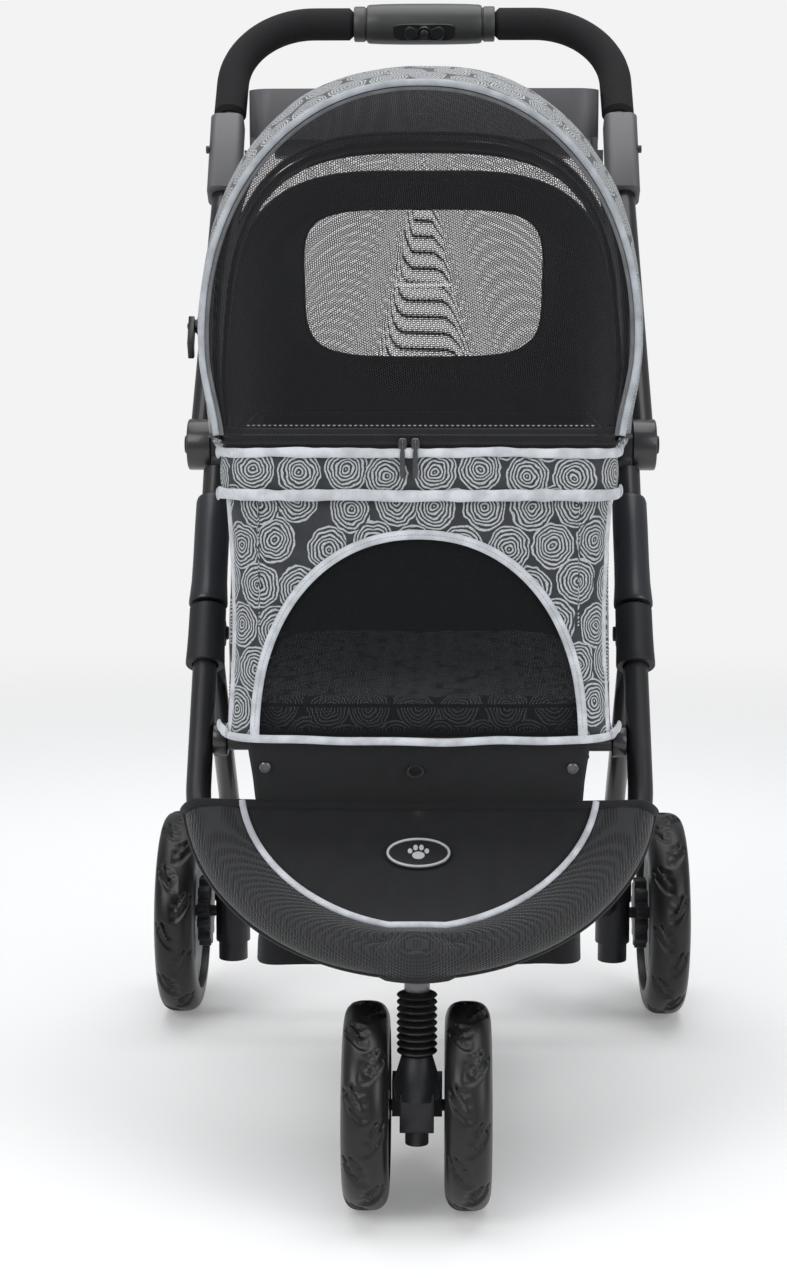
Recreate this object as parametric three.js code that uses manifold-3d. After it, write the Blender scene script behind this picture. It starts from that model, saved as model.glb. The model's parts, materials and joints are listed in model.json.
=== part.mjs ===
// A pet stroller: folding tube frame, fabric cabin with a bow canopy, twin front wheels on a swivel caster,
// sprung rear axle with two wheels, parent tray and undercarriage basket.
// Millimetres. +X is the stroller's left-to-right width, -Y is forward, +Z is up, and the floor is z = 0.
import * as THREE from "three";
import { mergeVertices } from "three/addons/utils/BufferGeometryUtils.js";
import Module from "manifold-3d";

const wasm = await Module();
wasm.setup();

// ---- driving dimensions ----
const GAP = 0.3; // between touching pieces
const RUN = 0.5; // radial clearance of pieces that turn or slide

// main frame line, which the front tube and the handle share
const FOLD_Y = 44;
const FOLD_Z = 640;
const LEAN_DEG = 34; // from vertical
const TUBE_X = 201;
const TUBE_R = 11.5;
const HANDLE_X = 217; // at the fold hinge
const HANDLE_TOP_X = 204;
const HANDLE_R = 11;
const HANDLE_TOP = 531; // along the line, from the hinge to the top bar
const HANDLE_BEND_R = 85;
const GRIP_R = 17;
const GRIP_START = 404;
const HINGE_R = 25;
const HINGE_SPLIT_X = 204.6;

// stations along the front tube, measured down the line from the fold hinge
const NECK_END = 30;
const SLEEVE_TOP = 62;
const SLEEVE_END = 178;
const BRACKET_TOP = 181;
const BRACKET_END = 241;
const STRAIGHT_END = 362;
const APRON_START = 0.085; // shares of the front tube's lower bend, where the apron begins and ends
const APRON_END = 0.97;

// nose and swivel caster
const SWIVEL_Y = -334;
const NOSE_Z = 225;
const NOSE_R = 20;
const NOSE_LOW = NOSE_Z - 12;
const NOSE_HIGH = NOSE_Z + 15;
const FRONT_AXLE_Y = -306;
const FRONT_WHEEL_R = 89;
const FRONT_WHEEL_X = 43.5;
const FRONT_TYRE_W = 40;
const FRONT_SIDES = 32;
const RIM_SIDES = 20;
const BELLOWS_TOP = 198;
const BELLOWS_END = 143.3;
const STEM_R = 6;

// rear legs and axle
const LEG_PIVOT_Y = -38;
const LEG_PIVOT_Z = 464;
const LEG_R = 10.5;
const REAR_AXLE_Y = 284;
const REAR_WHEEL_R = 111;
const REAR_WHEEL_X = 266;
const REAR_TYRE_W = 44;
const REAR_SIDES = 40;
const AXLE_R = 6;
const HOUSING_R = 20.5;
const HOUSING_X = 211;

// cabin
const CABIN_HALF_W = 170;
const CABIN_FRONT = -236;
const CABIN_BACK = 289;
const CABIN_FLOOR = 392;
const CABIN_RIM = 650;
const CABIN_CORNER = 32;
const CLOTH = 3;

// canopy bows: rest angle back from vertical, height, half width, half width at the pivots and squareness
const CANOPY_Y = -76;
const CANOPY_Z = 650;
const BOWS = {
  front: { angle: -12, height: 323, half: 195.5, base: 186.5, power: 2.15 },
  mid: { angle: 16, height: 357, half: 190.4, base: 182, power: 2.5 },
  rear: { angle: 40, height: 376, half: 186.5, base: 177.5, power: 3.2 },
};
const BOW_T = 3.4;
const BOW_DEPTH = 10;
const BOW_WAIST = 0.245; // the height of the widest point, as a share of the bow's height
const BOW_FOOT = 0.14; // the share of each half of a bow that lies below its widest point
const HUB_R = 10;
const HEM_ANGLE = 88; // the canopy's rear hem lies back on the cabin's rim
const HEM = { height: CABIN_BACK - CANOPY_Y - 2, half: 172, base: 170, power: 12 };

const BASKET = { half: 152, front: -140, back: 150, floor: 162, rim: 362 };
const TRAY = { half: 185, front: 250, back: 355, floor: 952, rim: 1003, well: 936, wall: 3 };

const lean = THREE.MathUtils.degToRad(LEAN_DEG);
const downLine = new THREE.Vector3(0, -Math.sin(lean), -Math.cos(lean));

// ---- materials ----
const finish = (color, roughness, metalness) =>
  new THREE.MeshStandardMaterial({ color, roughness, metalness });
const blackTube = finish(0x141416, 0.42, 0.5);
const blackPlastic = finish(0x17181a, 0.55, 0);
const greyPlastic = finish(0x55555a, 0.6, 0);
const palePlastic = finish(0xb9bbbd, 0.5, 0);
const foam = finish(0x101011, 0.95, 0);
const tyreRubber = finish(0x1a1a1b, 0.88, 0);
const printedCloth = finish(0x3b3d41, 0.95, 0);
const blackCloth = finish(0x18191b, 0.95, 0);
const steel = finish(0x9a9c9f, 0.35, 1);

// ---- shape helpers ----
const v3 = (x, y, z) => new THREE.Vector3(x, y, z);

// A closed geometry as a solid that can be joined and cut.
function solidOf(geometry) {
  const bare = geometry.index ? geometry.toNonIndexed() : geometry.clone();
  bare.deleteAttribute("normal");
  bare.deleteAttribute("uv");
  const merged = mergeVertices(bare, 1e-3);
  const mesh = new wasm.Mesh({
    numProp: 3,
    vertProperties: merged.attributes.position.array,
    triVerts: new Uint32Array(merged.index.array),
  });
  return new wasm.Manifold(mesh);
}

function geometryOf(solid) {
  const mesh = solid.getMesh();
  const positions = new Float32Array(mesh.numVert * 3);
  for (let i = 0; i < mesh.numVert; i++) {
    positions.set(mesh.vertProperties.subarray(i * mesh.numProp, i * mesh.numProp + 3), i * 3);
  }
  const geometry = new THREE.BufferGeometry();
  geometry.setAttribute("position", new THREE.BufferAttribute(positions, 3));
  geometry.setIndex(new THREE.BufferAttribute(mesh.triVerts, 1));
  geometry.computeVertexNormals();
  return geometry;
}

const join = (first, ...others) => others.reduce((whole, piece) => whole.add(piece), first);
const cut = (first, ...tools) => tools.reduce((whole, tool) => whole.subtract(tool), first);

// A straight round bar between two points.
function rod(radius, from, to, sides = 16) {
  const along = to.clone().sub(from);
  const geometry = new THREE.CylinderGeometry(radius, radius, along.length(), sides);
  const turn = new THREE.Quaternion().setFromUnitVectors(v3(0, 1, 0), along.clone().normalize());
  geometry.applyQuaternion(turn);
  geometry.translate(...from.clone().add(to).multiplyScalar(0.5));
  return solidOf(geometry);
}

function box(from, to) {
  const size = to.clone().sub(from);
  const geometry = new THREE.BoxGeometry(size.x, size.y, size.z);
  geometry.translate(...from.clone().add(to).multiplyScalar(0.5));
  return solidOf(geometry);
}

// A solid of revolution about X, from [radius, x] points listed with increasing x on the outside.
// It is grown so that its flat facets, not its edges, lie at the stated radii.
function turned(profile, sides, grow = 1 / Math.cos(Math.PI / sides)) {
  const points = profile.map(([radius, x]) => new THREE.Vector2(radius * grow, x));
  points.push(points[0].clone());
  const geometry = new THREE.LatheGeometry(points, sides, Math.PI / sides);
  geometry.rotateZ(-Math.PI / 2);
  return solidOf(geometry);
}

// The same about Z, placed at a point of the plan.
function turnedUpright(profile, sides, x = 0, y = 0) {
  const points = profile.map(([radius, z]) => new THREE.Vector2(radius, z));
  points.push(points[0].clone());
  const geometry = new THREE.LatheGeometry(points, sides);
  geometry.rotateX(Math.PI / 2);
  geometry.translate(x, y, 0);
  return solidOf(geometry);
}

function polygonShape(points) {
  return new THREE.Shape(points.map(([x, y]) => new THREE.Vector2(x, y)));
}

function circlePoints(radius, sides) {
  return Array.from({ length: sides }, (_, i) => {
    const angle = ((i + 0.5) / sides) * 2 * Math.PI;
    return [radius * Math.cos(angle), radius * Math.sin(angle)];
  });
}

// A round bar along a curve.
function sweep(curve, radius, steps, sides = 12) {
  const shape = polygonShape(circlePoints(radius, sides));
  return solidOf(new THREE.ExtrudeGeometry(shape, { steps, extrudePath: curve, bevelEnabled: false }));
}

// A rounded rectangle in plan, from one height to another.
function slab(x0, x1, y0, y1, z0, z1, corner, segments = 4) {
  const shape = new THREE.Shape();
  shape.moveTo(x0 + corner, y0);
  shape.lineTo(x1 - corner, y0);
  shape.absarc(x1 - corner, y0 + corner, corner, -Math.PI / 2, 0);
  shape.lineTo(x1, y1 - corner);
  shape.absarc(x1 - corner, y1 - corner, corner, 0, Math.PI / 2);
  shape.lineTo(x0 + corner, y1);
  shape.absarc(x0 + corner, y1 - corner, corner, Math.PI / 2, Math.PI);
  shape.lineTo(x0, y0 + corner);
  shape.absarc(x0 + corner, y0 + corner, corner, Math.PI, 1.5 * Math.PI);
  const geometry = new THREE.ExtrudeGeometry(shape, {
    depth: z1 - z0,
    curveSegments: segments,
    bevelEnabled: false,
  });
  geometry.translate(0, 0, z0);
  return solidOf(geometry);
}

// A closed skin over a grid: place(u, v) is the inner face and lift(u, v) the vector to the outer face.
function skin(columns, rows, place, lift) {
  const positions = [];
  for (const side of [0, 1]) {
    for (let j = 0; j <= rows; j++) {
      for (let i = 0; i <= columns; i++) {
        const point = place(i / columns, j / rows);
        if (side) point.add(lift(i / columns, j / rows));
        positions.push(point.x, point.y, point.z);
      }
    }
  }
  const layer = (columns + 1) * (rows + 1);
  const at = (i, j, side) => side * layer + j * (columns + 1) + i;
  const index = [];
  const quad = (a, b, c, d) => index.push(a, b, c, a, c, d);
  for (let j = 0; j < rows; j++) {
    for (let i = 0; i < columns; i++) {
      quad(at(i, j, 1), at(i + 1, j, 1), at(i + 1, j + 1, 1), at(i, j + 1, 1));
      quad(at(i, j + 1, 0), at(i + 1, j + 1, 0), at(i + 1, j, 0), at(i, j, 0));
    }
  }
  for (let i = 0; i < columns; i++) {
    quad(at(i, 0, 0), at(i + 1, 0, 0), at(i + 1, 0, 1), at(i, 0, 1));
    quad(at(i + 1, rows, 0), at(i, rows, 0), at(i, rows, 1), at(i + 1, rows, 1));
  }
  for (let j = 0; j < rows; j++) {
    quad(at(0, j + 1, 0), at(0, j, 0), at(0, j, 1), at(0, j + 1, 1));
    quad(at(columns, j, 0), at(columns, j + 1, 0), at(columns, j + 1, 1), at(columns, j, 1));
  }
  const geometry = new THREE.BufferGeometry();
  geometry.setAttribute("position", new THREE.BufferAttribute(new Float32Array(positions), 3));
  geometry.setIndex(index);
  const solid = solidOf(geometry);
  if (solid.volume() > 0) return solid;
  const reversed = [];
  for (let i = 0; i < index.length; i += 3) reversed.push(index[i], index[i + 2], index[i + 1]);
  geometry.setIndex(reversed);
  return solidOf(geometry);
}

// ---- scene graph ----
const stroller = new THREE.Group();

function frameAt(y, z, turn) {
  const group = new THREE.Group();
  group.position.set(0, y, z);
  group.rotation.x = turn;
  stroller.add(group);
  return group;
}

function add(name, solid, material, parent = stroller) {
  const mesh = new THREE.Mesh(geometryOf(solid), material);
  mesh.name = name;
  parent.add(mesh);
}

// One piece built on the +X side and its mirror image.
function addPair(name, solid, material, parent = stroller) {
  const mirror = new THREE.Group();
  mirror.scale.x = -1;
  parent.add(mirror);
  add(name + "_left", solid, material, mirror);
  add(name + "_right", solid, material, parent);
}

// The frame line: local Z runs up the handle and local Y points behind the tube.
const line = frameAt(FOLD_Y, FOLD_Z, -lean);
const onLine = (x, s) => v3(x, 0, -s).applyAxisAngle(v3(1, 0, 0), -lean).add(v3(0, FOLD_Y, FOLD_Z));

// ---- front tubes and nose ----
const bendStart = onLine(TUBE_X, STRAIGHT_END);
const bend = new THREE.CubicBezierCurve3(
  bendStart,
  bendStart.clone().addScaledVector(downLine, 92),
  v3(118, SWIVEL_Y + 22, NOSE_Z + 2),
  v3(NOSE_R + 1.5, SWIVEL_Y, NOSE_Z),
);
function addFrontTubes() {
  const straight = rod(TUBE_R, onLine(TUBE_X, NECK_END + GAP), onLine(TUBE_X, STRAIGHT_END), 12);
  addPair("front_tube", join(straight, sweep(bend, TUBE_R, 12)), blackTube);
  const housing = [
    [STEM_R + RUN, NOSE_LOW],
    [NOSE_R - 3, NOSE_LOW],
    [NOSE_R, NOSE_LOW + 4],
    [NOSE_R, NOSE_HIGH - 5],
    [NOSE_R - 6, NOSE_HIGH],
    [STEM_R + RUN, NOSE_HIGH],
  ];
  add("nose_bracket", turnedUpright(housing, 24, 0, SWIVEL_Y), blackPlastic);
}

// ---- fold hinge, lock sleeve and leg bracket on the front tube ----
function addFrameJoints() {
  const inner = TUBE_X - 14;
  const disc = rod(HINGE_R, v3(inner, 0, 0), v3(HINGE_SPLIT_X, 0, 0), 24);
  const neck = box(v3(inner, -13, -NECK_END), v3(HINGE_SPLIT_X, 13, 0));
  const pin = rod(5, v3(inner, 0, 0), v3(HANDLE_X + 13, 0, 0));
  const pinHead = rod(9, v3(HANDLE_X + 12, 0, 0), v3(HANDLE_X + 15, 0, 0));
  addPair("hinge_housing", join(disc, neck, pin, pinHead), blackPlastic, line);

  const sleeve = [
    [TUBE_R + RUN, -SLEEVE_END],
    [18.4, -SLEEVE_END],
    [18.4, -SLEEVE_END + 10],
    [16.6, -SLEEVE_END + 20],
    [16.6, -SLEEVE_TOP - 5],
    [14.5, -SLEEVE_TOP],
    [TUBE_R + RUN, -SLEEVE_TOP],
  ];
  addPair("lock_sleeve", turnedUpright(sleeve, 20, TUBE_X), blackPlastic, line);

  // the leg pivot lies behind the tube, in the line's own frame
  const pivot = v3(0, LEG_PIVOT_Y - FOLD_Y, LEG_PIVOT_Z - FOLD_Z).applyAxisAngle(v3(1, 0, 0), lean);
  const wall = 3.6;
  const earInner = TUBE_X - LEG_R - RUN;
  const earOuter = TUBE_X + LEG_R + RUN;
  const clamp = slab(earInner - wall, earOuter + wall, -15, 15, -BRACKET_END, -BRACKET_TOP, 6);
  const bracket = [clamp];
  for (const x of [earInner - wall, earOuter]) {
    bracket.push(box(v3(x, 0, pivot.z - 14), v3(x + wall, pivot.y, pivot.z + 11)));
    bracket.push(rod(13, v3(x, pivot.y, pivot.z), v3(x + wall, pivot.y, pivot.z)));
  }
  bracket.push(rod(4.5, v3(earInner - wall, pivot.y, pivot.z), v3(earOuter + wall, pivot.y, pivot.z)));
  bracket.push(rod(7, v3(earInner - wall - 3, pivot.y, pivot.z), v3(earInner - wall, pivot.y, pivot.z)));
  const tubeHole = rod(TUBE_R + RUN, v3(TUBE_X, 0, -BRACKET_END - 1), v3(TUBE_X, 0, -BRACKET_TOP + 1));
  addPair("leg_bracket", cut(join(...bracket), tubeHole), blackPlastic, line);

  const crossStation = 317;
  const reach = TUBE_X - TUBE_R - GAP;
  const cross = join(
    rod(9.5, v3(-reach, 0, -crossStation), v3(reach, 0, -crossStation)),
    rod(15, v3(-reach, 0, -crossStation), v3(13 - reach, 0, -crossStation)),
    rod(15, v3(reach - 13, 0, -crossStation), v3(reach, 0, -crossStation)),
  );
  add("front_cross_tube", cross, blackTube, line);
}

// ---- swivel caster with its sprung fork and twin wheels ----
function addCaster() {
  const collar = NOSE_LOW - GAP;
  const stemFoot = BELLOWS_END - 11;
  const stem = [
    [0, stemFoot],
    [STEM_R, stemFoot],
    [STEM_R, BELLOWS_TOP + GAP],
    [10.8, BELLOWS_TOP + GAP],
    [10.8, collar],
    [STEM_R, collar],
    [STEM_R, NOSE_HIGH + 1],
    [0, NOSE_HIGH + 1],
  ];
  add("caster_stem", turnedUpright(stem, 16, 0, SWIVEL_Y), steel);

  const folds = 6;
  const pitch = (BELLOWS_TOP - BELLOWS_END) / folds;
  const profile = [[STEM_R + 2, BELLOWS_END]];
  for (let i = 0; i < folds; i++) {
    profile.push([13, BELLOWS_END + i * pitch]);
    profile.push([17.3, BELLOWS_END + (i + 0.5) * pitch]);
  }
  profile.push([13, BELLOWS_TOP], [STEM_R + 2, BELLOWS_TOP]);
  add("caster_bellows", turnedUpright(profile, 16, 0, SWIVEL_Y), blackPlastic);

  // the fork: a cone under the bellows, a block, a foot, and a plate on each side that holds the axle
  const cone = [
    [0, 106],
    [19.5, 106],
    [20.4, 118],
    [18, 126],
    [13, BELLOWS_END - GAP],
    [0, BELLOWS_END - GAP],
  ];
  const half = 14.5;
  const body = new THREE.Shape();
  body.moveTo(-349, 112);
  body.lineTo(-349, 82);
  body.quadraticCurveTo(-348, 76, -336, 76);
  body.lineTo(-306, 78);
  body.quadraticCurveTo(-290, 79, -290, 92);
  body.quadraticCurveTo(-292, 108, -310, 112);
  const block = new THREE.ExtrudeGeometry(body, { depth: 2 * half, curveSegments: 5, bevelEnabled: false });
  block.applyMatrix4(new THREE.Matrix4().makeBasis(v3(0, 1, 0), v3(0, 0, 1), v3(1, 0, 0)));
  block.translate(-half, 0, 0);
  const plateX = 21.5;
  const axleEnd = FRONT_WHEEL_X + FRONT_TYRE_W / 2 - 4;
  const fork = join(
    turnedUpright(cone, 20, 0, SWIVEL_Y),
    solidOf(block),
    box(v3(-plateX, -322, 84), v3(plateX, -296, 116)),
    rod(5, v3(-axleEnd, FRONT_AXLE_Y, FRONT_WHEEL_R), v3(axleEnd, FRONT_AXLE_Y, FRONT_WHEEL_R)),
    rod(10, v3(0, SWIVEL_Y, 65), v3(0, SWIVEL_Y, 84)),
  );
  const stemHole = rod(STEM_R + RUN, v3(0, SWIVEL_Y, stemFoot - 15), v3(0, SWIVEL_Y, BELLOWS_END + 6));
  add("front_fork", cut(fork, stemHole), blackPlastic);
}

// A tyre with a flat tread, rounded shoulders and a flat facet under its centre.
function tyre(radius, width, inner, sides) {
  const half = width / 2;
  return turned(
    [
      [inner, -half + 7],
      [radius - 14, -half],
      [radius, -half + 10],
      [radius, half - 10],
      [radius - 14, half],
      [inner, half - 7],
    ],
    sides,
  );
}

// A dished rim with a boss on the axle.
function rim(outer, width, bore, bossR, bossFrom, bossTo, sides) {
  const half = width / 2;
  return turned(
    [
      [bore, bossFrom],
      [bossR, bossFrom],
      [bossR, -4],
      [outer - 7, -4],
      [outer - 7, -half],
      [outer, -half],
      [outer, half],
      [outer - 7, half],
      [outer - 7, 4],
      [bossR, 4],
      [bossR, bossTo],
      [bore, bossTo],
    ],
    sides,
    1,
  );
}

function addWheels() {
  const frontInner = FRONT_WHEEL_R - 24;
  const front = frameAt(FRONT_AXLE_Y, FRONT_WHEEL_R, 0);
  const toFront = (solid) => solid.translate([FRONT_WHEEL_X, 0, 0]);
  const frontTyre = tyre(FRONT_WHEEL_R, FRONT_TYRE_W, frontInner, FRONT_SIDES);
  addPair("front_tyre", toFront(frontTyre), tyreRubber, front);
  const frontRim = rim(frontInner - GAP, 24, 5 + RUN, 12, -19.5, 14, RIM_SIDES);
  addPair("front_rim", toFront(frontRim), palePlastic, front);

  const rearInner = REAR_WHEEL_R - 27;
  const rear = frameAt(REAR_AXLE_Y, REAR_WHEEL_R, 0);
  const toRear = (solid) => solid.translate([REAR_WHEEL_X, 0, 0]);
  addPair("rear_tyre", toRear(tyre(REAR_WHEEL_R, REAR_TYRE_W, rearInner, REAR_SIDES)), tyreRubber, rear);
  const rearRim = rim(rearInner - GAP, 28, AXLE_R + RUN, 15, -12, 17, RIM_SIDES);
  addPair("rear_rim", toRear(rearRim), palePlastic, rear);

  // the toothed ring that the brake locks, on the inner face of each rear wheel
  const teeth = 12;
  const outline = [];
  for (let i = 0; i < teeth; i++) {
    for (const [share, radius] of [[0, 33], [0.2, 39], [0.5, 39], [0.7, 33]]) {
      const angle = ((i + share) / teeth) * 2 * Math.PI;
      outline.push([radius * Math.cos(angle), radius * Math.sin(angle)]);
    }
  }
  const ring = new THREE.ExtrudeGeometry(polygonShape(outline), { depth: 13, bevelEnabled: false });
  ring.rotateY(Math.PI / 2);
  ring.translate(HOUSING_X + HOUSING_R + 3, 0, 0);
  const ringHole = rod(AXLE_R + RUN, v3(200, 0, 0), v3(300, 0, 0));
  addPair("brake_ring", cut(solidOf(ring), ringHole), blackPlastic, rear);
}

// ---- rear legs, sprung axle and brake ----
const legRun = Math.hypot(REAR_AXLE_Y - LEG_PIVOT_Y, LEG_PIVOT_Z - REAR_WHEEL_R);
const legLean = Math.atan2(REAR_AXLE_Y - LEG_PIVOT_Y, LEG_PIVOT_Z - REAR_WHEEL_R);
function addRearLegs() {
  const legs = frameAt(LEG_PIVOT_Y, LEG_PIVOT_Z, legLean);
  const legEnd = legRun - 32;
  const leg = rod(LEG_R, v3(TUBE_X, 0, 8), v3(TUBE_X, 0, -legEnd));
  const pinHole = rod(4.5 + RUN, v3(TUBE_X - 20, 0, 0), v3(TUBE_X + 20, 0, 0));
  addPair("rear_leg", cut(leg, pinHole), blackTube, legs);
  const cross = legRun - 84;
  const reach = TUBE_X - LEG_R - GAP;
  add("rear_cross_tube", rod(9.5, v3(-reach, 0, -cross), v3(reach, 0, -cross)), blackTube, legs);

  // an upright housing for the axle and its spring, with a socket for the leg's end
  const upright = (x, z) => {
    const point = v3(x, REAR_AXLE_Y - LEG_PIVOT_Y, z - LEG_PIVOT_Z);
    return point.applyAxisAngle(v3(1, 0, 0), -legLean);
  };
  const socketTop = legRun - 56;
  const housing = join(
    rod(HOUSING_R - 4.5, upright(HOUSING_X, 57), upright(HOUSING_X, 80), 20),
    rod(HOUSING_R - 1.5, upright(HOUSING_X, 78), upright(HOUSING_X, 126), 20),
    rod(HOUSING_R, upright(HOUSING_X, 124), upright(HOUSING_X, 149), 20),
    rod(LEG_R + 3.5, v3(TUBE_X, 0, -legEnd - 20), v3(TUBE_X, 0, -socketTop), 20),
  );
  const socket = rod(LEG_R + RUN, v3(TUBE_X, 0, -legEnd - 17), v3(TUBE_X, 0, 1 - socketTop), 20);
  const axleHole = rod(AXLE_R + GAP, v3(HOUSING_X - 40, 0, -legRun), v3(HOUSING_X + 40, 0, -legRun), 24);
  addPair("axle_housing", cut(housing, socket, axleHole), blackPlastic, legs);
}

function addRearAxle() {
  const rear = frameAt(REAR_AXLE_Y, REAR_WHEEL_R, 0);
  const axleEnd = REAR_WHEEL_X + REAR_TYRE_W / 2 - 3;
  add("rear_axle", rod(AXLE_R, v3(-axleEnd, 0, 0), v3(axleEnd, 0, 0)), steel, rear);
  const side = new THREE.Shape();
  side.absarc(0, 0, 13, Math.PI * 0.6, Math.PI * 1.7);
  side.lineTo(60, 6);
  side.quadraticCurveTo(72, 10, 70, 17);
  side.lineTo(60, 18);
  const arm = new THREE.ExtrudeGeometry(side, { depth: 44, curveSegments: 8, bevelEnabled: false });
  arm.applyMatrix4(new THREE.Matrix4().makeBasis(v3(0, 1, 0), v3(0, 0, 1), v3(1, 0, 0)));
  arm.translate(132, 0, 0);
  const bore = rod(AXLE_R + RUN, v3(120, 0, 0), v3(190, 0, 0), 24);
  add("brake_pedal", cut(solidOf(arm), bore), blackPlastic, rear);
}

// ---- handle ----
const handleAt = (w) => HANDLE_X - ((HANDLE_X - HANDLE_TOP_X) * w) / (HANDLE_TOP - HANDLE_BEND_R);
const bendW = HANDLE_TOP - HANDLE_BEND_R;
const ARC_PULL = 0.5523;
const corner = new THREE.CubicBezierCurve3(
  v3(HANDLE_TOP_X, 0, bendW),
  v3(HANDLE_TOP_X, 0, bendW + ARC_PULL * HANDLE_BEND_R),
  v3(HANDLE_TOP_X - (1 - ARC_PULL) * HANDLE_BEND_R, 0, HANDLE_TOP),
  v3(HANDLE_TOP_X - HANDLE_BEND_R, 0, HANDLE_TOP),
);
const POD_HALF = 62;
const COLLAR_END = 76;

function addHandle() {
  const knuckle = rod(HINGE_R, v3(HINGE_SPLIT_X + RUN, 0, 0), v3(HANDLE_X + 11.5, 0, 0), 24);
  const pinHole = rod(5 + RUN, v3(190, 0, 0), v3(250, 0, 0));
  const arm = rod(HANDLE_R, v3(HANDLE_X, 0, 0), v3(HANDLE_TOP_X, 0, bendW), 12);
  const bar = rod(HANDLE_R, v3(HANDLE_TOP_X - HANDLE_BEND_R, 0, HANDLE_TOP), v3(GAP, 0, HANDLE_TOP), 12);
  const tube = join(knuckle, arm, sweep(corner, HANDLE_R, 6), bar);
  addPair("handle_tube", cut(tube, pinHole), blackTube, line);

  const bore = HANDLE_R + 1;
  const gripArm = v3(handleAt(GRIP_START), 0, GRIP_START);
  const gripSolid = join(
    rod(GRIP_R, gripArm, v3(HANDLE_TOP_X, 0, bendW), 12),
    sweep(corner, GRIP_R, 6),
    rod(GRIP_R, v3(HANDLE_TOP_X - HANDLE_BEND_R, 0, HANDLE_TOP), v3(COLLAR_END + GAP, 0, HANDLE_TOP), 12),
  );
  const gripBore = join(
    rod(bore, v3(handleAt(GRIP_START - 9), 0, GRIP_START - 9), v3(HANDLE_TOP_X, 0, bendW + 2), 12),
    sweep(corner, bore, 6),
    rod(bore, v3(HANDLE_TOP_X - HANDLE_BEND_R, 0, HANDLE_TOP), v3(60, 0, HANDLE_TOP), 12),
  );
  addPair("foam_grip", cut(gripSolid, gripBore), foam, line);

  const podR = 21.5;
  const pod = turned(
    [
      [bore, -COLLAR_END],
      [18.5, -COLLAR_END],
      [18.5, -POD_HALF],
      [podR - 1.5, -POD_HALF],
      [podR, -20],
      [podR, 20],
      [podR - 1.5, POD_HALF],
      [18.5, POD_HALF],
      [18.5, COLLAR_END],
      [bore, COLLAR_END],
    ],
    24,
  );
  const pocket = box(v3(-23, -26, -7.5), v3(23, -13.5, 7.5));
  const podTurn = 65; // degrees that the trigger faces below the line's normal
  const place = (solid) => solid.rotate([podTurn, 0, 0]).translate([0, 0, HANDLE_TOP]);
  add("handle_pod", place(cut(pod, pocket)), greyPlastic, line);
  const trigger = cut(box(v3(-22, -26, -6.5), v3(22, -18, 6.5)), rod(6, v3(0, -30, 0), v3(0, -10, 0)));
  add("fold_trigger", place(trigger), blackPlastic, line);
  add("safety_button", place(rod(5, v3(0, -28, 0), v3(0, -17.5, 0))), greyPlastic, line);
}

// ---- tray and its clamps ----
function addTray() {
  const clampFrom = 300;
  const clampTo = 395;
  const clampInner = 189.5;
  const clampOuter = 224;
  const buttonW = 352;
  const buttonY = -12;
  const shell = slab(clampInner, clampOuter, -19, 17, clampFrom, clampTo, 9);
  const hole = rod(HANDLE_R + RUN, v3(handleAt(290), 0, 290), v3(handleAt(405), 0, 405));
  const buttonHole = rod(4 + RUN, v3(218.5, buttonY, buttonW), v3(230, buttonY, buttonW));
  addPair("tray_clamp", cut(shell, hole, buttonHole), greyPlastic, line);
  addPair("clamp_button", rod(4, v3(221, buttonY, buttonW), v3(227, buttonY, buttonW)), blackPlastic, line);

  const { half, front, back, floor, rim, well, wall } = TRAY;
  const outer = slab(-half, half, front, back, floor, rim, 26, 6);
  const base = floor + wall;
  const hollow = slab(wall - half, half - wall, front + wall, back - wall, base, rim + 5, 26 - wall, 6);
  const wellX = 125;
  const wellY = 310;
  let tray = outer;
  const wellR = 36;
  for (const x of [-wellX, wellX]) {
    tray = tray.add(rod(wellR, v3(x, wellY, well), v3(x, wellY, floor + 1), 24));
  }
  tray = tray.subtract(hollow);
  for (const x of [-wellX, wellX]) {
    tray = tray.subtract(rod(wellR - wall, v3(x, wellY, well + wall), v3(x, wellY, rim), 24));
  }
  // ears that drop from the tray's underside and meet the clamps' inner faces
  const ear = join(
    box(v3(clampInner - 12, 258, 915), v3(clampInner - 6, 290, floor + 1)),
    box(v3(clampInner - 8, 258, 915), v3(clampInner - GAP, 290, 940)),
  );
  tray = join(tray, ear, ear.mirror([1, 0, 0]));
  add("parent_tray", tray, greyPlastic);
}

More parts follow.
